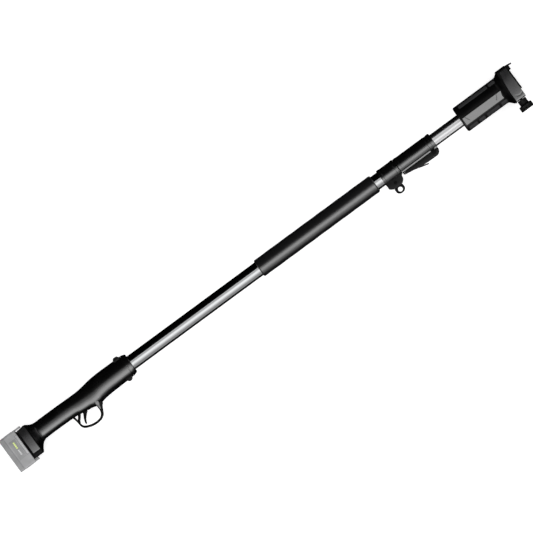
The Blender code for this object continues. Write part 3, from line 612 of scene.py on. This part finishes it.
def screw_seat(x, y):
    return rod(x, y, -60.0, SEAT_TOP, SEAT_R)


def make_handle():
    foot = smooth_rows(HANDLE, (
        spread(HANDLE_START, FOOT_FLAT_END, 2.0) + spread(FOOT_FLAT_END, FOOT_END, 0.6) + [FOOT_END]
    ))
    grip = smooth_rows(HANDLE, (
        spread(FOOT_END, NECK_END, 0.75) + spread(NECK_END, HANDLE_END, 2.5) + [HANDLE_END]
    ))
    (_, _, z), _ = span("trigger")
    for end, side in SIDES:
        name = f"handle_shell_{end}"
        shell = black_piece(f"{name}_skin", half_shell(grip, side), "handle", black, (name,))
        thicken(shell, WALL)
        boot = black_piece(f"{name}_foot", half_shell(foot, side), "handle", black_dull)
        soften(thicken(boot, WALL), 0.3, 2)
        carve(shell, block((155.8, -40.0, z - 0.8), (173.0, -13.0, 0.8 - z)))  # the trigger's slot
        if side < 0:
            for place in HANDLE_SCREWS[:3]:
                carve(shell, screw_seat(*place))
        soften(shell, 0.35, 2)
        for i, outline in enumerate(BUMPS):
            low, high = sorted((side * SEAM, side * 13.0))
            shape = pillow(rounded([(*point, 1.6) for point in outline]), low, high, 0.6)
            bump_piece = black_piece(f"nose_bump_{i + 1}_{end}", shape, "handle", black_matt)
            if side < 0:
                carve(bump_piece, screw_seat(*HANDLE_SCREWS[3 + i]))
    black_piece("trigger_guard", gather((sweep(GUARD), sweep(GUARD_BRACE))), "handle", black_dull)
    black_piece("trigger_guard_crest", sweep(GUARD_CREST, 5.0), "handle", black)
    for end, side in SIDES:
        sheet = crowned((40.0, 55.6), (-31.0, 24.4), 45.7, 2.5, 1.5, side)
        panel = black_piece(f"foot_panel_{end}", sheet, "handle", panel_grey)
        soften(thicken(panel, 3.0), 0.25, 2)


def make_nose_ring():
    (low, _, _), (high, _, _) = span("nose_ring")
    bore = OUTER_R + 0.3
    profile = (
        (low, bore), (low, 22.4), (low + 0.6, 23.0), (low + 2.2, 23.0), (high - 1.6, 20.7),
        (high - 0.5, 20.2), (high, 19.4), (high, bore + 0.8), (high - 0.8, bore),
    )
    black_piece("nose_ring_turned", ring(profile, 120), "handle", black_smooth, ("nose_ring",))


def make_trigger():
    x, y = 166.5, -13.0  # the pin
    boss, pin_hole = 5.4, 2.15
    nose = (x + 0.2, y + 10.5)
    outline = (
        [(153.2, -42.6), (153.4, -39.5), (154.7, -35.7), (156.2, -32.0), (158.3, -28.4), (160.5, -24.4),
         (161.5, -20.0)]
        + arc((x, y), boss, 205, 130, 4) + arc(nose, 3.0, 180, 0, 8) + arc((x, y), boss, 50, -30, 4)
        + [(171.3, -21.0), (170.2, -25.2), (166.3, -28.2), (162.8, -31.7), (159.4, -35.9), (157.3, -39.4),
           (156.5, -42.6), (154.8, -43.8)]
    )
    blade = black_piece("trigger_blade", pillow(outline, -4.5, 4.5, 0.9), "trigger", black_dull, ("trigger",))
    carve(blade, rod(x, y, -10.0, 10.0, pin_hole))


def screw_head(x, y, body, node):
    """A pan head with a six-lobed recess, on its plain shank."""
    dome = lathe(
        ((0.0, 2.1), (0.25, 2.6), (0.7, 3.0), (SCREW_HIGH - SCREW_LOW, 3.0)), 40, (x, y, SCREW_LOW), UP
    )
    shank = lathe(((0.0, 1.5), (18.0, 1.5), (18.4, 1.1)), 20, (x, y, SCREW_HIGH - 0.4), UP)
    head = store(f"{node}_head", gather((dome, shank)), body, steel, (node,))
    lobes = []
    for i in range(48):
        angle = math.tau * i / 48
        radius = 1.25 + 0.28 * math.cos(6 * angle)
        lobes.append((x + radius * math.cos(angle), y + radius * math.sin(angle)))
    carve(head, plate(lobes, SCREW_LOW - 1.0, SCREW_LOW + 1.2))


def screw_well(x, y, sections, body, name):
    """The wall round a screw's seat, from just under the shell's skin down to the head."""
    section = smooth_rows(sections, [x])[0]
    skin_z = oval(*section, angle_at(section, y)).z
    sunk, outer = 0.8, SEAT_R + 1.2
    depth = skin_z - sunk + SEAT_TOP
    if depth > 1.0:
        profile = ((0.0, SEAT_R), (0.0, outer), (depth, outer), (depth, SEAT_R))
        black_piece(name, ring(profile, 40, (x, y, sunk - skin_z), UP), body, black_dull)


def make_screws():
    for i, place in enumerate(HANDLE_SCREWS, 1):
        screw_head(*place, "handle", f"handle_screw_{i}")
        if i <= 3:
            screw_well(*place, HANDLE, "handle", f"handle_well_{i}")
    for i, place in enumerate(HEAD_SCREWS, 1):
        screw_head(*place, "tool_end", f"head_screw_{i}")
        screw_well(*place, HEAD, "tool_end", f"head_well_{i}")


# ---- tubes and grip


def make_tubes():
    wall, chamfer = 1.5, 0.4
    for node, body, material, radius in (
        ("outer_tube", "handle", bright_tube, OUTER_R), ("inner_tube", "tool_end", satin_tube, INNER_R),
    ):
        (low, _, _), (high, _, _) = span(node)
        bore = radius - wall
        profile = (
            (low, bore), (low, radius - chamfer), (low + chamfer, radius), (high - chamfer, radius),
            (high, radius - chamfer), (high, bore),
        )
        store(f"{node}_drawn", ring(profile, 160), body, material, (node,))


def make_foam_grip():
    (low, _, _), (high, top, _) = span("foam_grip")
    bore, rim, ripple = OUTER_R + 0.2, 3.4, 0.12
    turns = [math.radians(degrees) for degrees in range(0, 91, 10)]
    nose = [(low + rim - rim * math.cos(t), top - rim + rim * math.sin(t)) for t in turns]
    stations = spread(low + 4.0, high - 4.0, 6.0)
    body = [(x, top - ripple + ripple * math.cos(x * 0.9)) for x in stations]
    tail = [(high - (x - low), radius) for x, radius in reversed(nose)]
    profile = [(low, bore), *nose, *body, *tail, (high, bore)]
    grip = store("foam_sleeve", ring(profile, 112), "handle", foam, ("foam_grip",))


# ---- clamp

# centres in the side view: the harness eye, the bolt through the ears, the lever's pin and its catch
EYE = (903.6, -37.7)
EAR_SCREW = (903.5, -22.5)
HINGE = (928.8, -17.9)
CATCH = (997.5, -18.5)


def make_collar():
    (low, _, _), (high, _, _) = span("clamp_collar")
    bore, r = OUTER_R + 0.3, 17.8
    end = ((0.0, r - 1.0), (0.3, r - 0.3), (1.0, r), (5.4, r), (6.0, r - 0.5))  # a bead, from either end
    profile = [
        (low, bore), *((low + x, radius) for x, radius in end),
        *((high - x, radius) for x, radius in reversed(end)), (high, bore),
    ]
    collar = black_piece("collar_ring", ring(profile, 120), "handle", black_round, ("clamp_collar",))
    carve(collar, block((low - 5, -40.0, -2.3), (high + 5, -10.0, 2.3)))
    ears = rounded([
        (low + 0.3, -12.5, 0.0), (low + 0.3, -26.8, 2.5), (894.3, -31.5, 2.0), (912.5, -31.5, 2.5),
        (920.0, -26.0, 4.0), (high - 0.8, -15.5, 2.0), (high - 0.8, -12.5, 0.0),
    ])
    for name, z0, z1 in (("ear_front", 2.3, 9.0), ("ear_back", -9.0, -2.3)):
        ear = store(name, pillow(ears, z0, z1, 0.9), "handle", black_matt)
        carve(ear, rod(*EAR_SCREW, -20.0, 20.0, 2.5))
    bolt = gather((
        lathe(((0.0, 3.2), (1.2, 3.2), (1.8, 2.8), (2.0, 2.2)), 40, (*EAR_SCREW, 9.3), UP),
        rod(*EAR_SCREW, -10.0, 9.4, 2.0, 24),
    ))
    bolt_piece = store("ear_bolt", bolt, "handle", black_dull, ("bracket_screw",))
    carve(bolt_piece, plate(circle(EAR_SCREW, 1.5, 6), 10.0, 14.0))


def make_eye():
    tab = [(888.5, -18.7), (888.5, -25.6), (893.5, -29.4), (896.0, -33.0), (911.0, -33.0), (913.6, -29.4),
           (918.5, -24.8), (919.4, -18.7)]
    drilled = plate(tab, -2.0, 2.0, (circle(EAR_SCREW, 2.4, 24),))
    store("eye_tab", drilled, "handle", black_dull, ("harness_eye",))
    turns = [math.pi * (1 + i / 40) for i in range(41)]
    lobe = [(EYE[0] + 9.7 * math.cos(t), EYE[1] - 0.1 + 7.8 * math.sin(t)) for t in turns]
    outline = [(893.9, -32.0), *lobe, (913.3, -32.0)]
    eye = plate(outline, -3.15, 3.15, (circle(EYE, 4.6, 40),))
    soften(store("eye_plate", eye, "handle", black_dull), 0.6)


def d_section(x, radius, flat, count=72):
    """A circle with its lower side cut flat."""
    turns = [math.tau * i / count for i in range(count)]
    return [(x, max(radius * math.sin(t), flat), radius * math.cos(t)) for t in turns]


def make_sleeve():
    (low, _, _), (high, _, _) = span("clamp_sleeve")
    flat = -14.2
    steps = (
        (low, 16.2), (low + 0.8, 17.0), (low + 6.0, 17.0), (low + 6.4, 16.6), (high - 15.6, 16.6),
        (high - 15.0, 17.0), (high - 14.0, 17.0), (high - 13.4, 16.2), (high - 7.4, 16.2), (high - 6.8, 17.0),
        (high - 0.8, 17.0), (high, 16.0),
    )
    shape = skin([d_section(x, radius, flat) for x, radius in steps], wrap=True, caps=True)
    sleeve = black_piece("sleeve_body", shape, "handle", black_round, ("clamp_sleeve",))
    carve(sleeve, lathe(((0.0, INNER_R + 0.3), (200.0, INNER_R + 0.3)), 96, (low - 50.0, 0.0, 0.0)))
    carve(sleeve, block((939.7, -30.0, -5.3), (960.3, -12.0, 5.3)))
    for name, x0, x1 in (("sleeve_rail_1", low + 0.6, 993.0), ("sleeve_rail_2", 1002.5, high - 0.4)):
        for end, side in SIDES:
            corners = ((-14.9, side * 8.7, 0.0), (-11.9, side * 8.7, 0.0), (-11.9, side * 13.2, 0.4),
                       (-14.9, side * 12.0, 0.4))
            black_piece(f"{name}_{end}", bar(x0, x1, corners, 0.3), "handle", panel_grey)
    lip_bore = OUTER_R + 0.2
    lip = ((low - 1.2, lip_bore), (low - 1.2, 16.2), (low + 1.0, 16.2), (low + 1.0, lip_bore))
    black_piece("sleeve_lip", ring(lip, 96), "handle", black_dull)
    lug = [(925.4, -12.5)] + arc(HINGE, 2.8, 180, 360, 16) + [(932.2, -12.5)]
    catch = [(CATCH[0] - 4.0, -12.5)] + arc(CATCH, 4.6, 160, 380, 24) + [(CATCH[0] + 4.0, -12.5)]
    lug_piece = black_piece("sleeve_lug", pillow(lug, -3.7, 3.7, 0.5), "handle", black)
    carve(lug_piece, rod(*HINGE, -20.0, 20.0, 1.7))
    black_piece("sleeve_catch", pillow(catch, -3.7, 3.7, 0.6), "handle", black)


def make_lever():
    hinge_r = 3.2
    outline = arc(HINGE, hinge_r, 90, 270, 14)
    outline += [(945.0, -23.6), (957.0, -26.2), (964.0, -26.4), (972.0, -27.0), (985.0, -27.7)]
    outline += arc((997.4, -17.0), 10.9, -95, 0, 20) + [(1007.9, HINGE[1] + hinge_r)]
    arm = pillow(outline, -8.5, 8.5, 1.1)
    lever = store("lever_arm", arm, "lever", black_matt, ("clamp_lever",))
    for cut in (
        block((920.0, -40.0, -4.1), (935.0, 0.0, 4.1)),  # round the lug
        block((990.0, -24.5, -4.1), (1006.0, 0.0, 4.1)),  # round the catch
        block((936.5, -21.8, -6.6), (988.0, 0.0, 6.6)),  # the hollow between them
        rod(*HINGE, -20.0, 20.0, 1.65),
    ):
        carve(lever, cut)
    soften(lever, 0.25, 2)
    for name, z0, z1 in (("lever_boss_front", 8.3, 9.3), ("lever_boss_back", -9.3, -8.3)):
        boss = pillow(circle((997.2, -18.4), 5.0, 40), z0, z1, 0.45)
        store(name, boss, "lever", black_dull)
    fin = rounded([(955.0, -24.6, 1.0), (957.0, -26.8, 0.6), (976.2, -31.7, 0.6), (977.2, -29.6, 0.6),
                   (964.0, -25.6, 0.8)])
    store("lever_tab", pillow(fin, -7.6, 7.6, 0.3), "lever", grip_block)


# ---- tool end

# x, lowest y, highest y, half width in z, power of the oval
HEAD = (
    (1074.0, -24.6, 25.2, 25.0, 2.5), (1075.2, -26.3, 27.0, 26.7, 2.5), (1077.2, -26.9, 27.6, 27.3, 2.5),
    (1164.0, -26.9, 27.6, 27.3, 2.5), (1168.5, -27.6, 27.6, 29.5, 2.8), (1172.5, -31.0, 27.9, 35.5, 3.4),
    (1176.5, -35.2, 29.8, 42.0, 4.4), (1180.5, -37.6, 33.4, 46.5, 5.6),
)
HEAD_START, HEAD_END = HEAD[0][0], HEAD[-1][0]
# lowest and highest x, lowest and highest y of each raised grip pad on the head, how proud it stands
PADS = (
    (1084.0, 1152.0, 18.6, 24.6, 0.7), (1154.6, 1170.0, 18.6, 24.6, 0.7), (1079.0, 1099.0, -25.4, -19.2, 0.8),
    (1102.5, 1117.0, -25.4, -18.8, 0.8), (1120.5, 1151.0, -25.4, -18.8, 0.8),
    (1155.0, 1169.0, -25.4, -18.2, 0.8),
)
SHOULDER_X, SHOULDER_Y = (1077.3, 1173.0), (-15.9, 1.6)  # the flat band along the head's shoulder


def pinched(near, corner):
    """How far a rounded corner draws a side in, at a distance from the end."""
    return corner - math.sqrt(corner ** 2 - (corner - near) ** 2) if near < corner else 0.0


def head_pad(x0, x1, y0, y1, lift, side):
    """A raised pad that follows the head's skin, with rounded corners and a soft rim."""
    rows = []
    for x in spread(x0, x1, 0.8) + [x1]:
        section = smooth_rows(HEAD, [x])[0]
        near = max(min(x - x0, x1 - x), 0.0)
        pinch = pinched(near, 3.0)
        first, last = angle_at(section, y1 - pinch * 0.7), angle_at(section, y0 + pinch * 0.7)
        row = []
        for i in range(17):
            t = i / 16
            angle = first + (last - first) * t
            point = oval(*section, angle)
            ahead, behind = oval(*section, angle + 0.01), oval(*section, angle - 0.01)
            out = Vector((0.0, behind.z - ahead.z, ahead.y - behind.y)).normalized()
            if out.z < 0:
                out = -out
            edge = min(near, min(t, 1 - t) * (y1 - y0) * 1.3)
            rise = lift * math.sqrt(1 - (1 - min(edge / 0.9, 1.0)) ** 2) - 0.15
            place = point + out * rise
            row.append((place.x, place.y, place.z * side))
        rows.append(row)
    return facing(skin(rows), (0.0, math.copysign(1.0, y0 + y1), side))


def shoulder_band(side):
    """A flat band along the head's shoulder, tilted away from the trigger, with two short curved grooves."""
    (x0, x1), (y0, y1) = SHOULDER_X, SHOULDER_Y
    tilt, z = 0.26, 29.8
    rows = []
    for x in spread(x0, x1, 0.45) + [x1]:
        near = max(x1 - x, 0.0)
        pinch = pinched(near, 6.0)
        low, high = y0 + pinch * 0.9, y1 - pinch * 0.5
        row = []
        for i in range(33):
            y = low + (high - low) * i / 32
            drop = max(y1 - y, 0.0) / 10.5
            away = min(abs(x - 1084.0 - 4.0 * drop ** 1.5), abs(x - 1158.2 + 5.4 * drop ** 1.5))
            groove = 0.55 * math.exp(-(away / 0.65) ** 2) if drop < 1.05 else 0.0
            edge = max(min(near, x - x0, y - low, high - y), 0.0)
            rim = 1.6 * (1 - math.sqrt(1 - (1 - min(edge / 1.4, 1.0)) ** 2))
            row.append((x, y, side * (z - (y1 - y) * tilt - rim - groove)))
        rows.append(row)
    return facing(skin(rows), (0.0, 0.0, side))


def make_head():
    mouth_end, flare_start = 1079.0, 1162.0
    sections = smooth_rows(HEAD, (
        spread(HEAD_START, mouth_end, 0.5) + spread(mouth_end, flare_start, 4.0)
        + spread(flare_start, HEAD_END, 0.75) + [HEAD_END]
    ))
    for end, side in SIDES:
        name = f"head_housing_{end}"
        shell = black_piece(f"{name}_skin", half_shell(sections, side), "tool_end", black_matt, (name,))
        thicken(shell, 2.6)
        if side < 0:
            for place in HEAD_SCREWS:
                carve(shell, screw_seat(*place))
        soften(shell, 0.35, 2)
        for number, pad in enumerate(PADS, 1):
            sheet = head_pad(*pad, side)
            thicken(black_piece(f"head_pad_{number}_{end}", sheet, "tool_end", grip_block), 0.9)
        thicken(black_piece(f"head_band_{end}", shoulder_band(side), "tool_end", black_round), 1.5)
        inlay = head_pad(1076.6, 1171.0, -26.6, -15.9, 0.3, side)
        thicken(black_piece(f"head_inlay_{end}", inlay, "tool_end", grip_rubber), 0.5)
    mouth_bore = INNER_R + 0.4
    collar = ((1075.4, mouth_bore), (1075.4, 24.2), (1078.0, 24.4), (1078.0, mouth_bore))
    black_piece("head_mouth", ring(collar, 96), "tool_end", black_dull)


def flange_rear(y):
    """The rear edge of the flange's side panel, which curves towards the tool at its high end."""
    return 1181.2 + 6.2 * (max(y + 14.0, 0.0) / 45.0) ** 1.5


def flange_groove(x, y):
    """The depth of the curved groove across the panel's low end."""
    away = (y + 27.6 - 2.4 * ((x - 1194.0) / 7.0) ** 2) / 0.8
    return 0.5 * math.exp(-away ** 2) if 1186.0 < x < 1201.0 else 0.0


KNOB_X = 1191.5
CONTACT_WINDOW = (1140.0, -8.3, -14.3), (1220.0, 12.3, 14.3)


def make_adapter():
    flange = bar(1181.0, 1202.0, box_corners(-36.0, 35.2, -48.0, 48.0, 6.0), 0.9)
    adapter = black_piece("adapter_flange", flange, "tool_end", black_dull, ("tool_adapter",))
    carve(adapter, bar(1170.0, 1199.0, box_corners(-33.0, 32.2, -46.3, 46.3, 4.0), 0.1))
    carve(adapter, block(*CONTACT_WINDOW))
    carve(adapter, lathe(((0.0, 6.0), (20.0, 6.0)), 40, (KNOB_X, -40.0, 0.0), (0.0, 1.0, 0.0)))
    raised = bar(1201.0, 1205.5, box_corners(-19.6, 24.0, -38.0, 38.0, 4.0), 0.6)
    face = black_piece("adapter_face", raised, "tool_end", black_dull)
    carve(face, block(*CONTACT_WINDOW))
    shelf = bar(1201.0, 1209.6, box_corners(22.0, 32.5, -36.0, 36.0, 2.0), 0.8)
    black_piece("adapter_shelf", shelf, "tool_end", black_dull)
    hook = rounded([(1184.0, 31.6, 0.0), (1184.0, 35.2, 1.0), (1197.0, 34.9, 2.0), (1216.4, 32.6, 0.8),
                    (1216.4, 29.6, 0.8), (1197.0, 31.4, 2.0)])
    black_piece("adapter_hook", pillow(hook, -36.0, 36.0, 0.5), "tool_end", black_dull)
    boss = ring(((0.0, 6.0), (0.0, 8.6), (12.0, 8.6), (12.0, 6.0)), 48, (KNOB_X, -35.4, 0.0), (0.0, 1.0, 0.0))
    black_piece("adapter_boss", boss, "tool_end", black)
    for end, side in SIDES:
        sheet = crowned((1181.0, 1202.4), (-34.4, 31.4), 47.7, 2.3, 0.4, side, flange_rear, flange_groove)
        soften(thicken(black_piece(f"flange_panel_{end}", sheet, "tool_end", panel_grey), 2.9), 0.25, 2)


def make_thumbscrew():
    rim, flute_depth, flute_count = 13.85, 0.75, 18

    def flutes(angle, distance, radius):
        if 49.6 <= distance <= 57.2 and radius > 13.0:
            return radius - flute_depth * (0.5 + 0.5 * math.cos(angle * flute_count)) ** 0.6
        return radius
    profile = (
        (21.9, 2.4), (22.5, 3.0), (36.4, 3.0), (36.4, 8.2), (37.0, 9.1), (46.8, 9.1), (47.8, 10.2),
        (47.8, 12.2), (48.4, 13.3), (49.5, rim), (49.7, rim), (53.5, rim), (57.1, rim), (57.3, rim),
        (58.2, 13.4), (58.9, 12.0), (58.9, 8.6), (58.3, 8.0), (58.3, 0.6),
    )
    knob = lathe(profile, 216, (KNOB_X, 0.0, 0.0), (0.0, -1.0, 0.0), flutes)
    black_piece("thumbscrew_knob", knob, "knob", black_matt, ("thumbscrew",))


# ---- battery pack


def pack_piece(name, bm, material, replaced=()):
    return store(name, bm, "battery", material, replaced)


def make_pack():
    (x0, y0, z0), (split, y1, z1) = span("pack_lower_case")
    wall, rim, middle = 2.4, 35.1, -3.0
    corners = box_corners(y0, y1, z0, z1, 4.0)
    lower = pack_piece("pack_tray", bar(x0, split, corners, 0.5), pack_band, ("pack_lower_case",))
    carve(lower, block((x0 + wall - 0.3, y0 + wall, z0 + wall), (20.0, y1 - wall, z1 - wall)))
    upper = pack_piece("pack_cover", bar(split + 0.1, rim, corners, 0.4), pack_grey, ("pack_upper_case",))
    for cut in (
        block((0.0, y0 + wall, z0 + wall), (21.2, y1 - wall, z1 - wall)),  # the room for the cells
        block((25.0, middle - 15.6, z0 - 5), (60.0, middle + 15.6, 41.5)),  # the slot for the socket's rails
        block((22.6, middle - 22.6, z0 - 5), (29.0, middle + 22.6, 41.5)),
        block((20.0, -36.0, 44.0), (29.0, 21.0, z1 - wall)),  # the board and the contacts
        block((29.6, -23.3, 51.8), (60.0, 19.3, 70.0)),  # the release button
    ):
        carve(upper, cut)
    soften(upper, 0.3, 2)
    for name, low, high, reach in (
        ("pack_wing_high", 26.2, y1 - 0.1, 47.5), ("pack_wing_low", y0 + 0.1, -39.2, 42.4),
    ):
        pack_piece(name, bar(30.0, reach, box_corners(low, high, -38.0, 42.0, 1.2), 0.6), pack_grey)
    for end, side, y in (("high", 1, y1 - 0.3), ("low", -1, y0 + 0.3)):
        for i in range(5):
            x = 13.0 + i * 3.2
            low, high = sorted((y, y + side * 0.7))
            rib = bar(x, x + 1.6, box_corners(low, high, -28.0, 42.0, 0.3), 0.3)
            pack_piece(f"pack_rib_{i + 1}_{end}", rib, pack_band)
    label = pillow(rounded(box_corners(12.6, 27.5, -24.6, 15.2, 1.5)), z1 - 0.5, z1 + 0.22, 0.15)
    pack_piece("pack_label_field", label, pack_band)


def make_gauge():
    """Four white bars, the first of which stands for the CAD's gauge, and four green ones."""
    (_, _, z0), (_, _, z1) = span("charge_gauge")
    bars = [(-17.2 + 2.9 * i, 2.2, gauge_white) for i in range(4)]
    bars += [(-3.2 + 3.6 * i, 3.0, gauge_green) for i in range(4)]
    for i, (low, width, material) in enumerate(bars):
        outline = rounded(box_corners(19.6, 22.7, low, low + width, 0.5))
        lens = pillow(outline, z0 - 0.2, z1 - 0.1, 0.3)
        replaced = () if i else ("charge_gauge",)
        store(f"gauge_lens_{i + 1}", lens, "battery", material, replaced)


def make_release_button():
    (x0, y0, z0), (x1, y1, z1) = span("release_button")
    cap = pillow(rounded(box_corners(x0, x1, y0, y1, 1.2)), z0, z1 - 0.4, 0.7)
    cap_piece = store("release_cap", cap, "release", pack_light, ("release_button",))
    (_, low, _), (_, high, top) = span("release_spring")
    pocket = block((x0 - 1.0, low - 0.6, z0 - 1.0), (x1 - 0.3, high + 0.6, top + 3.5))
    carve(cap_piece, pocket)  # for the spring
    for i in range(9):
        y = y0 + 4.0 + i * (y1 - y0 - 8.6) / 8
        outline = rounded(box_corners(x0 + 0.8, x1 - 0.8, y, y + 0.6, 0.25))
        rib = pillow(outline, z1 - 0.9, z1, 0.2)
        store(f"release_rib_{i + 1}", rib, "release", pack_grey)


def make_socket():
    """A copy of the CAD's socket with its edges rounded."""
    bm = bmesh.new()
    bm.from_mesh(frame["nodes"]["battery_socket"].data)
    bmesh.ops.remove_doubles(bm, verts=bm.verts, dist=0.00001)
    bmesh.ops.dissolve_limit(bm, angle_limit=math.radians(2), verts=bm.verts, edges=bm.edges)
    bmesh.ops.transform(bm, matrix=Matrix.Scale(1 / MM, 4) @ Matrix.Translation(-ORIGIN), verts=bm.verts)
    socket = store("battery_socket_piece", bm, "handle", black_dull, ("battery_socket",))
    soften(socket, 0.5)


# ---- studio

# first and last angle from straight up towards +Y, in degrees, and the radiance of each strip of a softbox
BODY_STRIPS = ((-77.0, -62.0, 2.0), (-62.0, -27.0, 7.7), (-27.0, -11.0, 4.6), (-11.0, 5.0, 1.6))
ROUND_STRIPS = ((-84.0, -64.0, 1.2), (-64.0, -44.0, 3.0), (-44.0, -11.0, 7.2), (-11.0, 4.0, 2.4))
OUTER_STRIPS = (
    (-98.0, -80.0, 0.28), (-80.0, -62.0, 0.27), (-62.0, -45.0, 0.48), (-45.0, -32.0, 0.8),
    (-32.0, -12.0, 1.0), (-12.0, -1.0, 0.74), (-1.0, 7.0, 0.45), (7.0, 13.0, 0.3), (13.0, 21.0, 0.68),
)
INNER_STRIPS = (
    (-96.0, -70.0, 0.85), (-70.0, -58.0, 0.5), (-58.0, -38.0, 0.78), (-38.0, -14.0, 1.02), (-14.0, 0.0, 0.62),
    (0.0, 18.0, 0.56), (18.0, 36.0, 0.74),
)
# metres in the pole's axis frame
REACH, STRIP_LENGTH = 4.0, 7.0  # from the pole's axis to the softboxes, and along them
MIDDLE_X = -ORIGIN.x


def area_light(name, place, turn, size, radiance, receivers=None, diffuse=False):
    """A soft light that is seen either in gloss or in diffuse shading, never by the camera."""
    data = bpy.data.lights.new(name, "AREA")
    data.shape = "RECTANGLE"
    data.size, data.size_y = size
    data.energy = radiance * math.pi * size[0] * size[1]
    obj = placed(name, data)
    obj.location = ORIGIN + Vector(place)
    obj.rotation_euler = turn
    obj.visible_camera = False
    obj.visible_diffuse = diffuse
    obj.visible_glossy = not diffuse
    obj.light_linking.receiver_collection = receivers


def strip_light(name, first, last, radiance, receivers):
    """A strip along the pole that fills the directions between two angles."""
    turn = math.radians((first + last) / 2)
    width = 2 * REACH * math.tan(math.radians((last - first) / 2))
    place = (MIDDLE_X, math.sin(turn) * REACH, math.cos(turn) * REACH)
    area_light(name, place, (-turn, 0.0, 0.0), (STRIP_LENGTH, width), radiance, receivers)


def make_lights():
    for collection, strips in (
        (BODY_LIT, BODY_STRIPS), (ROUND_LIT, ROUND_STRIPS),
        (OUTER_LIT, OUTER_STRIPS), (INNER_LIT, INNER_STRIPS),
    ):
        for number, (first, last, radiance) in enumerate(strips, 1):
            strip_light(f"{collection.name}_strip_{number}", first, last, radiance, collection)
    for name, radiance, lit in (("overhead_fill", 0.7, BODY_LIT), ("overhead_fill_round", 0.5, ROUND_LIT)):
        area_light(name, (MIDDLE_X, -1.2, 5.0), (0.24, 0.0, 0.0), (8.0, 6.0), radiance, lit, True)
    for name, side in (("end_card_low", -1), ("end_card_high", 1)):
        turn = (0.0, side * math.pi / 2, 0.0)
        area_light(name, (MIDDLE_X + side * 3.4, 0.0, 0.9), turn, (1.8, 5.0), 1.1)
        for tubes in (OUTER_LIT, INNER_LIT):
            place = (MIDDLE_X + side * 3.6, 0.0, 2.1)
            area_light(f"{name}_{tubes.name}", place, turn, (4.2, 8.4), 0.6, tubes)


def make_world():
    world = bpy.data.worlds.new("studio_world")
    world.use_nodes = True
    world.node_tree.nodes["Background"].inputs["Color"].default_value = (1.0, 1.0, 1.0, 1.0)
    world.cycles_visibility.glossy = False
    bpy.context.scene.world = world


def make_floor():
    bm = bmesh.new()
    bmesh.ops.create_grid(bm, x_segments=1, y_segments=1, size=40.0)
    floor = placed("floor", mesh_of("floor", bm))
    floor.location.z = FLOOR_Z
    material, _, shader = new_material("pale_floor")
    for socket, value in (
        ("Base Color", (0.9, 0.9, 0.9, 1.0)), ("Roughness", 0.9),
        ("Emission Color", (1.0, 1.0, 1.0, 1.0)), ("Emission Strength", 0.5),
    ):
        shader.inputs[socket].default_value = value
    floor.data.materials.append(material)
    floor.visible_glossy = False


def make_studio():
    bpy.context.scene.view_settings.view_transform = "Standard"
    for node in frame["nodes"].values():
        BODY_LIT.objects.link(node)
    make_world()
    make_floor()
    make_lights()


def make_camera():
    """A long lens straight above the pole's side, rolled so that the pole climbs to the upper right."""
    view_width, roll, target = 1.0191, math.radians(36.358), Vector((609.7, -5.1, 0.0))
    data = bpy.data.cameras.new("camera")
    data.lens = 1000.0
    data.clip_end = 100.0
    camera = placed("camera", data)
    distance = view_width * data.lens / data.sensor_width
    camera.location = ORIGIN + target * MM + Vector((0.0, 0.0, distance))
    camera.rotation_euler = (0.0, 0.0, -roll)
    bpy.context.scene.camera = camera


make_camera()
finish_cad_nodes()
make_handle()
make_nose_ring()
make_trigger()
make_screws()
make_tubes()
make_foam_grip()
make_collar()
make_eye()
make_sleeve()
make_lever()
make_head()
make_adapter()
make_thumbscrew()
make_pack()
make_gauge()
make_release_button()
make_socket()
make_studio()
